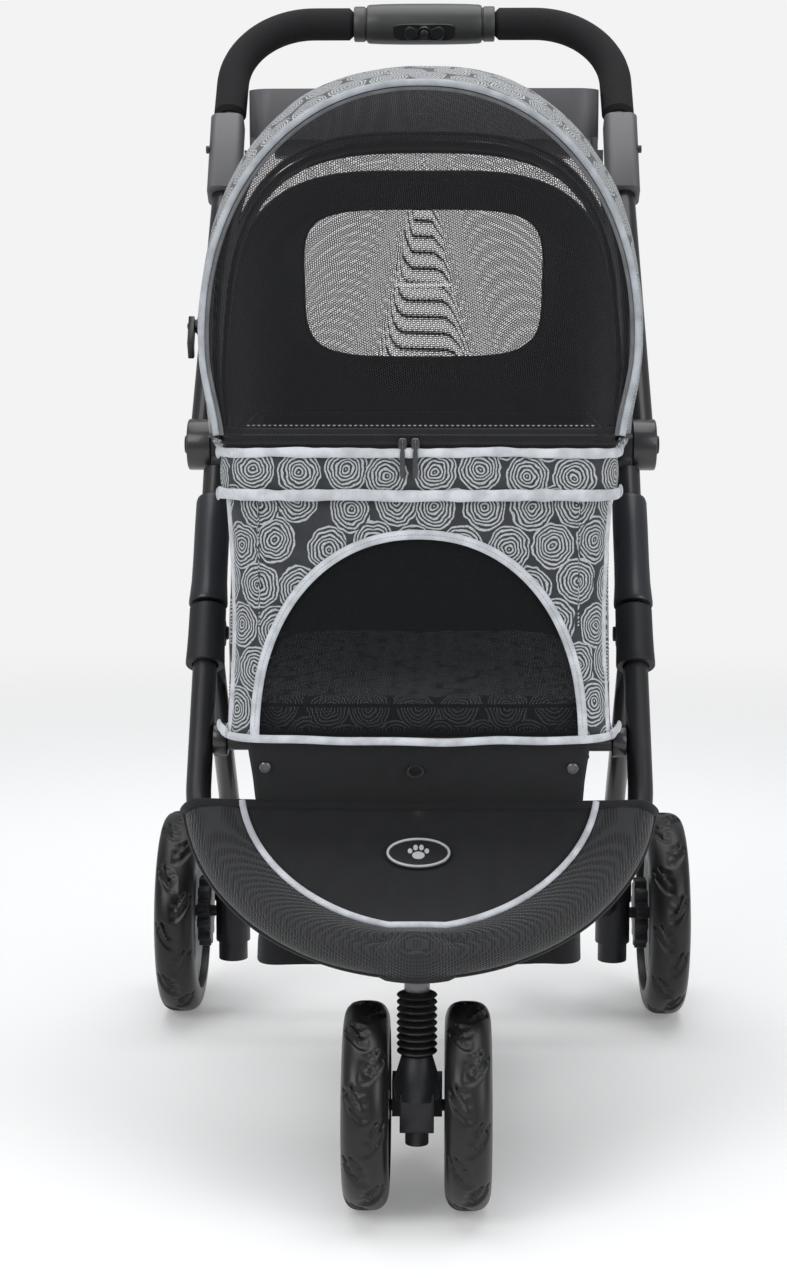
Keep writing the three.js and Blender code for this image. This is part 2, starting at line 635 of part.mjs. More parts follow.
// ---- storage hook on the left handle tube ----
const HOOK_W = 139;
function addLatchHook() {
  const x = handleAt(HOOK_W);
  const below = HOOK_W - 20;
  const above = HOOK_W + 20;
  const tubeHole = rod(HANDLE_R + 0.2, v3(handleAt(below), 0, below), v3(handleAt(above), 0, above));
  const ring = rod(14.5, v3(x, 0, HOOK_W - 9), v3(x, 0, HOOK_W + 9));
  const boss = rod(7, v3(x + 12, 0, HOOK_W), v3(x + 16, 0, HOOK_W));
  const pin = rod(3, v3(x + 12, 0, HOOK_W), v3(x + 24, 0, HOOK_W));
  const base = cut(join(ring, boss, pin), tubeHole);
  const mirror = new THREE.Group();
  mirror.scale.x = -1;
  line.add(mirror);
  add("latch_base", base, blackPlastic, mirror);
  const hookSide = new THREE.Shape();
  hookSide.moveTo(-7, 8);
  hookSide.lineTo(7, 8);
  hookSide.lineTo(7, -20);
  hookSide.lineTo(14, -27);
  hookSide.lineTo(9, -33);
  hookSide.lineTo(-7, -25);
  const plate = new THREE.ExtrudeGeometry(hookSide, { depth: 6, bevelEnabled: false });
  plate.applyMatrix4(new THREE.Matrix4().makeBasis(v3(0, 1, 0), v3(0, 0, 1), v3(1, 0, 0)));
  plate.translate(x + 16.5, 0, HOOK_W);
  const hole = rod(3 + GAP, v3(x, 0, HOOK_W), v3(x + 30, 0, HOOK_W));
  add("latch_hook", cut(solidOf(plate), hole), blackPlastic, mirror);
}

// ---- canopy ----
// A bow's outline: share runs 0 at one hub to 1 at the other.
function bowOutline(bow, share, grow = 0) {
  const side = share < 0.5 ? 1 : -1;
  const t = 1 - Math.abs(2 * share - 1);
  if (t < BOW_FOOT) {
    const k = t / BOW_FOOT;
    const x = bow.base + grow + (bow.half - bow.base) * THREE.MathUtils.smoothstep(k, 0, 1);
    return { x: side * x, r: BOW_WAIST * bow.height * k };
  }
  const angle = ((t - BOW_FOOT) / (1 - BOW_FOOT)) * (Math.PI / 2);
  const x = (bow.half + grow) * Math.cos(angle) ** (2 / bow.power);
  const rise = (1 - BOW_WAIST) * bow.height + grow;
  return { x: side * x, r: BOW_WAIST * bow.height + rise * Math.sin(angle) ** (2 / bow.power) };
}

function canopyPoint(outline, angleDeg) {
  const angle = THREE.MathUtils.degToRad(angleDeg);
  return v3(outline.x, CANOPY_Y + outline.r * Math.sin(angle), CANOPY_Z + outline.r * Math.cos(angle));
}

function addBows() {
  const strip = polygonShape([
    [-BOW_DEPTH / 2, -BOW_T / 2],
    [BOW_DEPTH / 2, -BOW_T / 2],
    [BOW_DEPTH / 2, BOW_T / 2],
    [-BOW_DEPTH / 2, BOW_T / 2],
  ]);
  for (const [name, bow] of Object.entries(BOWS)) {
    const points = [];
    for (let i = 0; i <= 48; i++) {
      const { x, r } = bowOutline(bow, i / 48);
      points.push(v3(x, 0, r));
    }
    const path = new THREE.CatmullRomCurve3(points);
    const hoop = new THREE.ExtrudeGeometry(strip, { steps: 26, extrudePath: path, bevelEnabled: false });
    const group = frameAt(CANOPY_Y, CANOPY_Z, -THREE.MathUtils.degToRad(bow.angle));
    let whole = solidOf(hoop);
    for (const side of [-1, 1]) {
      const x = side * bow.base;
      whole = whole.add(rod(HUB_R, v3(x - BOW_T / 2, 0, 0), v3(x + BOW_T / 2, 0, 0)));
    }
    const hole = rod(3 + RUN, v3(-220, 0, 0), v3(220, 0, 0));
    add("canopy_bow_" + name, whole.subtract(hole), blackPlastic, group);
  }
  const pivots = frameAt(CANOPY_Y, CANOPY_Z, 0);
  const plate = rod(15, v3(CABIN_HALF_W + GAP, 0, 0), v3(BOWS.rear.base - BOW_T / 2 - GAP, 0, 0));
  const pin = rod(3, v3(CABIN_HALF_W + GAP, 0, 0), v3(BOWS.front.base + 5, 0, 0));
  addPair("canopy_pivot", join(plate, pin), blackPlastic, pivots);
}

// The front opening's edge runs from the cabin's front corners up to the front bow's crown.
const FACE_FOOT_Y = CABIN_FRONT + 3;
const FACE_FOOT_Z = CABIN_RIM + 7;
function facePoint(share, grow) {
  const { x, r } = bowOutline(BOWS.front, share, grow);
  const crown = canopyPoint({ x: 0, r: BOWS.front.height + grow }, BOWS.front.angle);
  const rise = r / (BOWS.front.height + grow);
  const narrow = 1 - 0.09 * (1 - rise) ** 3;
  const y = THREE.MathUtils.lerp(FACE_FOOT_Y, crown.y - 4, rise);
  return v3(x * narrow, y, THREE.MathUtils.lerp(FACE_FOOT_Z, crown.z, rise));
}

function addCanopySkins() {
  const sheet = 1.6;
  const outward = ({ x, y, z }) => {
    const away = v3(x, (y - CANOPY_Y) * 0.6, (z - CANOPY_Z) * 0.6);
    return away.normalize().multiplyScalar(sheet);
  };
  const panels = {
    front: {
      bows: [null, BOWS.mid],
      angles: [0, BOWS.mid.angle - 0.4],
    },
    rear: {
      bows: [BOWS.mid, BOWS.rear],
      angles: [BOWS.mid.angle + 0.4, BOWS.rear.angle - 0.4],
    },
    back: {
      bows: [BOWS.rear, HEM],
      angles: [BOWS.rear.angle + 0.4, HEM_ANGLE],
    },
  };
  const clear = BOW_T / 2 + 3.2;
  for (const [name, panel] of Object.entries(panels)) {
    const [first, second] = panel.bows;
    const place = (u, v) => {
      const share = 0.09 + 0.82 * u;
      const far = canopyPoint(bowOutline(second, share, clear), panel.angles[1]);
      if (!first) {
        const near = facePoint(share, clear + 4);
        const point = near.lerp(far, v);
        const bulge = 1 + 0.022 * Math.sin(Math.PI * v);
        return v3(point.x * bulge, point.y, CANOPY_Z + (point.z - CANOPY_Z) * bulge);
      }
      const a = bowOutline(first, share, clear);
      const b = bowOutline(second, share, clear);
      const outline = { x: THREE.MathUtils.lerp(a.x, b.x, v), r: THREE.MathUtils.lerp(a.r, b.r, v) };
      return canopyPoint(outline, THREE.MathUtils.lerp(panel.angles[0], panel.angles[1], v));
    };
    add("canopy_skin_" + name, skin(18, 3, place, (u, v) => outward(place(u, v))), printedCloth);
  }
  const net = skin(
    18,
    2,
    (u, v) => {
      const edge = facePoint(0.02 + 0.96 * u, 0);
      const foot = v3((1 - 2 * u) * 160, FACE_FOOT_Y, FACE_FOOT_Z);
      return edge.lerp(foot, 1 - v).add(v3(0, -4, 0));
    },
    () => v3(0, -1.6, 0),
  );
  add("front_net", net, blackCloth);
}

// ---- cabin, cushion, floor board, apron and basket ----
function tub(half, front, back, floor, rimZ, corner, wall) {
  const outer = slab(-half, half, front, back, floor, rimZ, corner);
  const base = floor + wall;
  const hollow = slab(wall - half, half - wall, front + wall, back - wall, base, rimZ + 10, corner - wall);
  return outer.subtract(hollow);
}

function addSoftGoods() {
  const cabin = tub(CABIN_HALF_W, CABIN_FRONT, CABIN_BACK, CABIN_FLOOR, CABIN_RIM, CABIN_CORNER, CLOTH);
  add("cabin_shell", cabin, printedCloth);
  const inset = CLOTH + 2;
  const cushion = slab(
    inset - CABIN_HALF_W,
    CABIN_HALF_W - inset,
    CABIN_FRONT + inset,
    CABIN_BACK - inset,
    CABIN_FLOOR + CLOTH + GAP,
    CABIN_FLOOR + 38,
    CABIN_CORNER - inset,
  );
  add("cushion", cushion, printedCloth);
  add("floor_board", slab(-150, 150, -105, 235, CABIN_FLOOR - 13, CABIN_FLOOR - GAP, 20), blackPlastic);
  const basket = tub(BASKET.half, BASKET.front, BASKET.back, BASKET.floor, BASKET.rim, 24, 2.5);
  add("basket", basket, blackCloth);

  // the apron hangs on the front tubes, wraps round them from the front, and closes over the nose
  const clear = TUBE_R + 2.2;
  const rows = 12;
  const arcs = 4;
  const columns = 4 * arcs;
  const apronAt = (u, v) => {
    const share = THREE.MathUtils.lerp(APRON_START, APRON_END, v);
    const centre = bend.getPoint(share);
    const along = bend.getTangent(share);
    const face = v3(0, along.z, -along.y).normalize();
    const out = face.clone().cross(along);
    const side = u < 0.5 ? -1 : 1;
    const column = Math.abs(2 * u - 1) * 2;
    const across = Math.min(column, 1);
    const wrap = THREE.MathUtils.degToRad(Math.max(column - 1, 0) * THREE.MathUtils.lerp(90, 160, v));
    const middle = 1 - across ** 2;
    const lift = clear + middle * (11 * v ** 3 - 5 * (1 - v));
    const normal = face.clone().multiplyScalar(Math.cos(wrap)).addScaledVector(out, Math.sin(wrap));
    const point = v3(centre.x * across, centre.y, centre.z).addScaledVector(normal, lift);
    return { point: v3(side * point.x, point.y, point.z), normal: v3(side * normal.x, normal.y, normal.z) };
  };
  const sheet = skin(
    columns,
    rows,
    (u, v) => apronAt(u, v).point,
    (u, v) => apronAt(u, v).normal.multiplyScalar(2),
  );
  const noseAt = (u, v) => {
    const across = 2 * u - 1;
    const turn = THREE.MathUtils.degToRad(THREE.MathUtils.lerp(15, 160, v));
    const grow = 1 - across ** 2;
    const top = turn < Math.PI / 2;
    const tall = clear + (top ? 10 * grow : 0);
    const ahead = (clear + 9.6 * grow) * (top ? Math.sin(turn) : 1);
    return v3(34 * across, SWIVEL_Y - ahead, NOSE_Z + tall * Math.cos(turn));
  };
  const bib = skin(8, 8, noseAt, (u, v) => {
    const turn = THREE.MathUtils.degToRad(THREE.MathUtils.lerp(15, 90, v));
    return v3(0, -2 * Math.sin(turn), 2 * Math.cos(turn));
  });
  const apron = join(sheet, bib);
  add("apron", apron, blackCloth);

  // two zip sliders side by side at the middle of the front rim, with their pull tabs hanging
  for (const [name, x] of [["left", -14], ["right", -3]]) {
    const slider = join(
      box(v3(x - 4, CABIN_FRONT - 9, CABIN_RIM - 1), v3(x + 4, CABIN_FRONT - 4, CABIN_RIM + 9)),
      box(v3(x - 2.5, CABIN_FRONT - 8, CABIN_RIM - 26), v3(x + 2.5, CABIN_FRONT - 6, CABIN_RIM)),
    );
    add("zip_slider_" + name, slider, greyPlastic);
  }
}

addFrontTubes();
addFrameJoints();
addCaster();
addWheels();
addRearLegs();
addRearAxle();
addHandle();
addTray();
addLatchHook();
addBows();
addCanopySkins();
addSoftGoods();

export default stroller;
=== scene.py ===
"""A folding pet stroller: smooth frame pieces, treaded wheels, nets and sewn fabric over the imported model.

Metres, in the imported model's frame: +X is the width, -Y is forward, +Z is up and the floor is z = 0.
"""
import json
import math

import bpy
from mathutils import Matrix, Vector, noise


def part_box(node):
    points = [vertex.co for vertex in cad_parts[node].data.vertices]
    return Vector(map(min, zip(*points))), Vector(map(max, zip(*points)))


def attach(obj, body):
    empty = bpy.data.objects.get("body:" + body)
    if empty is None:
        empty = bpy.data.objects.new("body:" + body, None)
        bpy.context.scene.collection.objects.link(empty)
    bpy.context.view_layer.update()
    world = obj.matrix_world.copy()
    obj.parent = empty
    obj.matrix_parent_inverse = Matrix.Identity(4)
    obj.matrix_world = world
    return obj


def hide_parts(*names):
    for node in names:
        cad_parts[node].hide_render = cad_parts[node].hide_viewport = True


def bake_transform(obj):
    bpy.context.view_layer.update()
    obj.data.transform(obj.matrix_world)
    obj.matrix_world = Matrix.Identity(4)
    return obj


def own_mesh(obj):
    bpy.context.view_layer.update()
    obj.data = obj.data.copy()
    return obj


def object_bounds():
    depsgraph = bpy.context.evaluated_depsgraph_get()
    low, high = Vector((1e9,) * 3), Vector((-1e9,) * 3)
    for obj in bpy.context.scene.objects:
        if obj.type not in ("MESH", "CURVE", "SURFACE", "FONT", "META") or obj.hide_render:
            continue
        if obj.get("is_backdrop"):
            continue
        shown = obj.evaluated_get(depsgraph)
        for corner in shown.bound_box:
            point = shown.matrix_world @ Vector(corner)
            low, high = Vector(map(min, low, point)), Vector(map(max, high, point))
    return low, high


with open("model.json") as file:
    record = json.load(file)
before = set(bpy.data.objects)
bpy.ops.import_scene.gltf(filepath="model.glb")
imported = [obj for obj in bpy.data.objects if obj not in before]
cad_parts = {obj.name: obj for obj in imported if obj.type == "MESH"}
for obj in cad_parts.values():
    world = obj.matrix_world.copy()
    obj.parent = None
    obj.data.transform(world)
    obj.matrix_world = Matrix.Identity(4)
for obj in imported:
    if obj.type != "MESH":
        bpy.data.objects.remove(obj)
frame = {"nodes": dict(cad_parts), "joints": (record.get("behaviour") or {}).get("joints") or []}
NODES = frame["nodes"]
JOINTS = {joint["name"]: joint for joint in frame["joints"]}
CAD_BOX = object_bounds()

# ---- places taken from the frame ----
HINGE = Vector(JOINTS["handle_fold"]["pos_m"])
LEG_PIVOT = Vector(JOINTS["rear_leg_fold"]["pos_m"])
CANOPY = Vector(JOINTS["canopy_rear"]["pos_m"])
SWIVEL = Vector(JOINTS["caster_swivel"]["pos_m"])
FRONT_AXLE = Vector(JOINTS["front_wheel_right_roll"]["pos_m"])
REAR_AXLE = Vector(JOINTS["rear_wheel_right_roll"]["pos_m"])

# ---- driving dimensions ----
LEAN = math.radians(34)
UP = Vector((0, math.sin(LEAN), math.cos(LEAN)))
AHEAD = Vector((0, -math.cos(LEAN), math.sin(LEAN)))
TUBE_X = 0.201
TUBE_R = 0.0115
HANDLE_X = 0.217
HANDLE_TOP_X = 0.204
HANDLE_TOP = 0.531
HANDLE_BEND = 0.085
HANDLE_R = 0.011
GRIP_START = 0.404
STRAIGHT_END = 0.362
APRON_START, APRON_END = 0.085, 0.97  # shares of the front tube's lower bend that the apron covers

CABIN_LOW, CABIN_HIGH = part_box("cabin_shell")
CABIN_HALF = CABIN_HIGH.x
CABIN_CORNER = 0.032
BASKET_LOW, BASKET_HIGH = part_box("basket")
TRAY_LOW, TRAY_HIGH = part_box("parent_tray")

# canopy bows: angle back from vertical, height, half width, width at the pivots, squareness
BOWS = {
    "front": {"angle": -12, "height": 0.323, "half": 0.1955, "base": 0.1865, "power": 2.15},
    "mid": {"angle": 16, "height": 0.357, "half": 0.1904, "base": 0.182, "power": 2.5},
    "rear": {"angle": 40, "height": 0.376, "half": 0.1865, "base": 0.1775, "power": 3.2},
}
HEM_ANGLE = 88
HEM = {"height": CABIN_HIGH.y - CANOPY.y - 0.002, "half": 0.172, "base": 0.170, "power": 12}
BOW_WAIST = 0.245
BOW_FOOT = 0.14
SKIN_CLEAR = 0.0049


# ---- shape helpers ----
def lerp(a, b, share):
    return a + (b - a) * share


def smoothstep(share):
    share = min(max(share, 0), 1)
    return share * share * (3 - 2 * share)


def on_line(x, up, ahead=0.0):
    """A point of the main frame line: up the line from the fold hinge, and ahead of it."""
    return Vector((x, HINGE.y, HINGE.z)) + UP * up + AHEAD * ahead


def curve_at(points, t):
    a, b, c, d = points
    s = 1 - t
    return a * s**3 + b * (3 * s * s * t) + c * (3 * s * t * t) + d * t**3


def bezier(points, steps):
    return [curve_at(points, i / steps) for i in range(steps + 1)]


def tube_bend(side=1):
    """The front tube's lower bend, from its straight part in to the nose."""
    start = on_line(side * TUBE_X, -STRAIGHT_END)
    low = Vector((side * 0.118, SWIVEL.y + 0.022, SWIVEL.z + 0.002))
    return [start, start - UP * 0.092, low, Vector((side * 0.0215, SWIVEL.y, SWIVEL.z))]


def spaced(path, step):
    """The same path with points about one step apart."""
    lengths = [0.0]
    for a, b in zip(path, path[1:]):
        lengths.append(lengths[-1] + (b - a).length)
    count = max(1, round(lengths[-1] / step))
    result = []
    j = 0
    for i in range(count + 1):
        want = lengths[-1] * i / count
        while j < len(path) - 2 and lengths[j + 1] < want:
            j += 1
        gap = lengths[j + 1] - lengths[j]
        result.append(path[j].lerp(path[j + 1], (want - lengths[j]) / gap if gap else 0))
    return result


class Form:
    """Shapes gathered into one mesh, with a material number for each face and cloth coordinates in metres."""

    def __init__(self):
        self.points = []
        self.faces = []
        self.marks = []
        self.cloth = []

    def face(self, corners, mark=0):
        self.faces.append(corners)
        self.marks.append(mark)

    def grid(self, rows, mark=0, wrap=False, cloth=None):
        """A surface through equal rows of points; wrap joins the end of each row to its start."""
        first = len(self.points)
        width = len(rows[0])
        down = 0.0
        for j, row in enumerate(rows):
            if j:
                down += (row[width // 2] - rows[j - 1][width // 2]).length
            along = 0.0
            for i, point in enumerate(row):
                if i:
                    along += (point - row[i - 1]).length
                self.points.append(point)
                self.cloth.append(cloth[j][i] if cloth else (along, down))
        for j in range(len(rows) - 1):
            for i in range(width if wrap else width - 1):
                a = first + j * width + i
                b = first + j * width + (i + 1) % width
                self.face([a, b, b + width, a + width], mark)
        return first

    def tube(self, path, radius, sides=20, mark=0, flat=None, normal=None, capped=True):
        """A bar along a path. radius may vary with the share of the path; flat is its thickness on the
        side that normal points to, for a tape or a strip."""
        facing = normal or Vector((0.31, 0.52, 0.79))
        rings = []
        count = len(path)
        for i, point in enumerate(path):
            along = (path[min(i + 1, count - 1)] - path[max(i - 1, 0)]).normalized()
            side = facing(i / (count - 1)) if callable(facing) else facing
            out = (side - along * side.dot(along)).normalized()
            if normal is None:
                facing = out
            across = along.cross(out)
            wide = radius(i / (count - 1)) if callable(radius) else radius
            thick = wide if flat is None else flat
            ring = []
            for k in range(sides):
                turn = 2 * math.pi * k / sides
                ring.append(point + across * (wide * math.cos(turn)) + out * (thick * math.sin(turn)))
            rings.append(ring)
        first = self.grid(rings, mark, wrap=True)
        if capped:
            self.face([first + k for k in reversed(range(sides))], mark)
            last = first + (count - 1) * sides
            self.face([last + k for k in range(sides)], mark)

    def turned(self, profile, centre, axis, sides=48, mark=0):
        """A solid of revolution: profile lists (distance along the axis, radius)."""
        axis = axis.normalized()
        guide = Vector((0, 0, 1)) if abs(axis.z) < 0.9 else Vector((0, 1, 0))
        across = guide.cross(axis).normalized()
        out = axis.cross(across)
        rings = []
        for along, radius in profile:
            ring = []
            for k in range(sides):
                turn = 2 * math.pi * k / sides
                spoke = across * math.cos(turn) + out * math.sin(turn)
                ring.append(centre + axis * along + spoke * radius)
            rings.append(ring)
        self.grid(rings, mark, wrap=True)

    def slab(self, outline, place, depth, edge=0.0008, mark=0):
        """A plate: outline lists (a, b) points, place(a, b, c) gives a point at height c."""
        rings = []
        middle = Vector((sum(p[0] for p in outline), sum(p[1] for p in outline))) / len(outline)
        for inset, height in [(edge, 0), (0, edge), (0, depth - edge), (edge, depth)]:
            ring = []
            for a, b in outline:
                away = Vector((a, b)) - middle
                shrink = 1 - inset / max(away.length, 1e-6)
                spot = middle + away * shrink
                ring.append(place(spot.x, spot.y, height))
            rings.append(ring)
        first = self.grid(rings, mark, wrap=True)
        count = len(outline)
        self.face([first + k for k in reversed(range(count))], mark)
        self.face([first + 3 * count + k for k in range(count)], mark)

    def build(self, name, materials, body=None, replaces=(), sharp=38):
        mesh = bpy.data.meshes.new(name)
        mesh.from_pydata(self.points, [], self.faces)
        mesh.polygons.foreach_set("material_index", self.marks)
        mesh.polygons.foreach_set("use_smooth", [True] * len(self.faces))
        layer = mesh.uv_layers.new(name="cloth")
        for loop in mesh.loops:
            layer.data[loop.index].uv = self.cloth[loop.vertex_index]
        mesh.validate()
        mesh.update()
        mesh.set_sharp_from_angle(angle=math.radians(sharp))
        piece = bpy.data.objects.new(name, mesh)
        bpy.context.scene.collection.objects.link(piece)
        for material in materials:
            mesh.materials.append(material)
        if body:
            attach(piece, body)
        if replaces:
            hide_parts(*replaces)
        return piece


def settle(piece):
    """Applies the modifiers, so that the piece's own mesh is its final one."""
    bpy.context.view_layer.update()
    graph = bpy.context.evaluated_depsgraph_get()
    mesh = bpy.data.meshes.new_from_object(
        piece.evaluated_get(graph), preserve_all_data_layers=True, depsgraph=graph
    )
    piece.modifiers.clear()
    piece.data = mesh


MIDDLE = Vector((0, 0.02, 0.52))  # inside the cabin


def thicken(piece, thickness, inner=0, inside=MIDDLE):
    """Gives a sheet its thickness away from the side that is seen; inside is a point behind it, and inner is
    added to the material number of the hidden side."""
    mesh = piece.data
    facing = sum(face.normal.dot(face.center - inside) * face.area for face in mesh.polygons)
    if facing < 0:
        mesh.flip_normals()
    solid = piece.modifiers.new("thickness", "SOLIDIFY")
    solid.thickness = thickness
    solid.offset = -1
    solid.material_offset = inner
    settle(piece)


def crumple(piece, size, amount, seed, hold=None):
    """Moves the points in and out by smooth noise, in creases of about the given size."""
    mesh = piece.data
    moves = []
    shift = Vector((seed * 3.7, seed * 1.9, seed * 5.3))
    for vertex in mesh.vertices:
        value = noise.noise(vertex.co / size + shift) + 0.4 * noise.noise(vertex.co / (0.4 * size) + shift)
        moves.append(vertex.normal * value * amount * (hold(vertex.co) if hold else 1))
    for vertex, move in zip(mesh.vertices, moves):
        vertex.co += move
    mesh.update()


def ellipse(half_a, half_b, count, power=2.0):
    outline = []
    for i in range(count):
        turn = 2 * math.pi * i / count
        c, s = math.cos(turn), math.sin(turn)
        a = half_a * math.copysign(abs(c) ** (2 / power), c)
        b = half_b * math.copysign(abs(s) ** (2 / power), s)
        outline.append((a, b))
    return outline


def stitches(form, path, pitch=0.0042, length=0.0026, radius=0.0005, mark=0, normal=None):
    """Short threads laid end to end along a seam."""
    run = spaced(path, pitch / 2)
    for i in range(0, len(run) - 1, 2):
        along = (run[i + 1] - run[i]).normalized() * length / 2
        middle = (run[i] + run[i + 1]) / 2
        form.tube([middle - along, middle, middle + along], radius, sides=5, mark=mark, normal=normal)


# ---- materials ----
class Shader:
    """A Principled material, with short ways to add and link its nodes."""

    def __init__(self, name, color, roughness, metallic=0.0, fixed=None):
        self.material = bpy.data.materials.new(name)
        self.material.use_nodes = True
        self.tree = self.material.node_tree
        self.skin = self.tree.nodes["Principled BSDF"]
        self.set("Base Color", (*color, 1))
        self.set("Roughness", roughness)
        self.set("Metallic", metallic)
        for socket, value in (fixed or {}).items():
            self.set(socket, value)

    def set(self, socket, value):
        self.feed(self.skin.inputs[socket], value)

    def feed(self, socket, value):
        if isinstance(value, bpy.types.NodeSocket):
            self.tree.links.new(value, socket)
        else:
            socket.default_value = value

    def node(self, kind, inputs=None, **settings):
        node = self.tree.nodes.new("ShaderNode" + kind)
        for key, value in settings.items():
            setattr(node, key, value)
        for key, value in (inputs or {}).items():
            self.feed(node.inputs[key], value)
        return node

    def math(self, operation, a, b=0.0):
        return self.node("Math", {0: a, 1: b}, operation=operation).outputs[0]

    def vector(self, operation, a, b=(0, 0, 0)):
        node = self.node("VectorMath", {0: a, 1: b}, operation=operation)
        return node.outputs["Value" if operation == "LENGTH" else "Vector"]

    def span(self, value, low, high, start=0.0, end=1.0):
        inputs = {"Value": value, "From Min": low, "From Max": high, "To Min": start, "To Max": end}
        return self.node("MapRange", inputs, interpolation_type="SMOOTHSTEP").outputs["Result"]

    def mix(self, factor, dark, light):
        node = self.node("Mix", {0: factor}, data_type="RGBA")
        self.feed(node.inputs[6], (*dark, 1) if isinstance(dark, tuple) else dark)
        self.feed(node.inputs[7], (*light, 1) if isinstance(light, tuple) else light)
        return node.outputs[2]

    def place(self, cloth):
        if cloth:
            return self.node("UVMap", uv_map="cloth").outputs[0]
        return self.node("TexCoord").outputs["Object"]

    def noise(self, place, scale, detail=2.0):
        return self.node("TexNoise", {"Vector": place, "Scale": scale, "Detail": detail}).outputs["Fac"]

    def bump(self, height, distance, strength=1.0, under=None):
        inputs = {"Height": height, "Distance": distance, "Strength": strength}
        node = self.node("Bump", inputs)
        if under:
            self.feed(node.inputs["Normal"], under)
        return node.outputs[0]


def shade(color, factor):
    return tuple(channel * factor for channel in color)


def moulded(name, color, roughness, grain=900.0, depth=0.00008, metallic=0.0, fixed=None, edge_highlight=1.5):
    """Moulded plastic, rubber or paint: fine grain, uneven gloss, and a painted highlight that lightens the
    sharp edges.
    """
    shader = Shader(name, color, roughness, metallic, fixed)
    place = shader.place(cloth=False)
    broad = shader.noise(place, 14.0, 3.0)
    fine = shader.noise(place, grain)
    body = shader.mix(shader.span(broad, 0.3, 0.7), shade(color, 0.86), shade(color, 1.12))
    # painted highlight: the base colour is lightened on sharp edges by the given factor
    edge = shader.node("NewGeometry").outputs["Pointiness"]
    shader.set("Base Color", shader.mix(shader.span(edge, 0.52, 0.62), body, shade(color, edge_highlight)))
    shader.set("Roughness", shader.span(broad, 0.25, 0.75, roughness * 0.86, min(roughness * 1.12, 1)))
    shader.set("Normal", shader.bump(fine, depth))
    return shader.material


def woven(name, color, pitch=0.0009, sheen=0.25, roughness=0.9, cloth=True, rings=False):
    """Plain-weave polyester: threads that cross over and under, with slightly uneven dye."""
    fixed = {"Sheen Weight": sheen, "Sheen Roughness": 0.45}
    shader = Shader(name, color, roughness, fixed=fixed)
    place = shader.place(cloth)
    parts = shader.node("SeparateXYZ", {0: place}).outputs
    turn = 2 * math.pi / pitch
    warp = shader.math("SINE", shader.math("MULTIPLY", parts[0], turn))
    weft = shader.math("SINE", shader.math("MULTIPLY", parts[1], turn))
    thread = shader.math("MULTIPLY", warp, weft)
    uneven = shader.noise(place, 55.0, 4.0)
    base = shader.mix(shader.span(uneven, 0.3, 0.7), shade(color, 0.82), shade(color, 1.18))
    if rings:
        pale, mask = ring_print(shader, place)
        base = shader.mix(mask, base, pale)
    shader.set("Base Color", shader.mix(shader.span(thread, -1, 1, 0, 0.16), base, (0.0, 0.0, 0.0)))
    slack = shader.bump(uneven, 0.0012, 0.5)
    shader.set("Normal", shader.bump(thread, 0.00012, 0.7, slack))
    return shader.material


RING_PITCH = 0.0395  # between the middles of neighbouring motifs
RING_LINE = 0.0031  # from one drawn ring to the next


def ring_print(shader, place):
    """Hand-drawn rings around a dot, in staggered rows: the pale ink and where it lies."""
    wobble = shader.node("TexNoise", {"Vector": place, "Scale": 95.0, "Detail": 1.0}).outputs["Color"]
    drawn = shader.vector("MULTIPLY_ADD", wobble, (0.0056, 0.0056, 0))
    shader.feed(drawn.node.inputs[2], place)
    nearest = None
    size = (RING_PITCH, RING_PITCH * math.sqrt(3) * 1.04, 1)
    for shift in ((0, 0, 0), (0.5, 0.5, 0)):
        cells = shader.vector("ADD", shader.vector("DIVIDE", drawn, size), shift)
        spot = shader.vector("FLOOR", cells)
        chance = shader.node("TexWhiteNoise", {"Vector": spot}, noise_dimensions="3D").outputs["Color"]
        middle = shader.vector("ADD", shader.vector("MULTIPLY", chance, (0.22, 0.13, 0)), (0.39, 0.435, 0))
        local = shader.vector("SUBTRACT", shader.vector("FRACTION", cells), middle)
        flat = shader.vector("MULTIPLY", local, (size[0] * 1.05, size[1] * 0.95, 0))
        away = shader.vector("LENGTH", flat)
        nearest = away if nearest is None else shader.math("MINIMUM", nearest, away)
    phase = shader.math("MULTIPLY", nearest, 2 * math.pi / RING_LINE)
    ring = shader.span(shader.math("COSINE", phase), -0.25, 0.35)
    inside = shader.span(nearest, RING_PITCH * 0.53, RING_PITCH * 0.51)
    dots = shader.span(shader.noise(place, 620.0), 0.34, 0.52, 0.55, 1.0)
    mask = shader.math("MULTIPLY", shader.math("MULTIPLY", ring, inside), dots)
    return (0.56, 0.585, 0.6), mask


NET_BIAS = math.radians(24)  # the net is cut across its grain


def netting(name, color, pitch, cover):
    """Knitted net: rows of round holes, staggered, with cover the share that the threads take."""
    shader = Shader(name, color, 0.9, fixed={"Sheen Weight": 0.12, "Specular IOR Level": 0.2})
    flat = shader.place(cloth=True)
    place = shader.node("VectorRotate", {"Vector": flat, "Angle": NET_BIAS}).outputs["Vector"]
    size = (pitch, pitch * math.sqrt(3), 1)
    nearest = None
    for shift in ((0, 0, 0), (0.5, 0.5, 0)):
        cells = shader.vector("ADD", shader.vector("DIVIDE", place, size), shift)
        local = shader.vector("SUBTRACT", shader.vector("FRACTION", cells), (0.5, 0.5, 0))
        away = shader.vector("LENGTH", shader.vector("MULTIPLY", local, (size[0], size[1], 0)))
        nearest = away if nearest is None else shader.math("MINIMUM", nearest, away)
    hole = pitch * math.sqrt((1 - cover) * math.sqrt(3) / 2 / math.pi)
    shader.set("Alpha", shader.span(nearest, hole * 0.86, hole * 1.14))
    shader.set("Normal", shader.bump(nearest, 0.0002))
    return shader.material


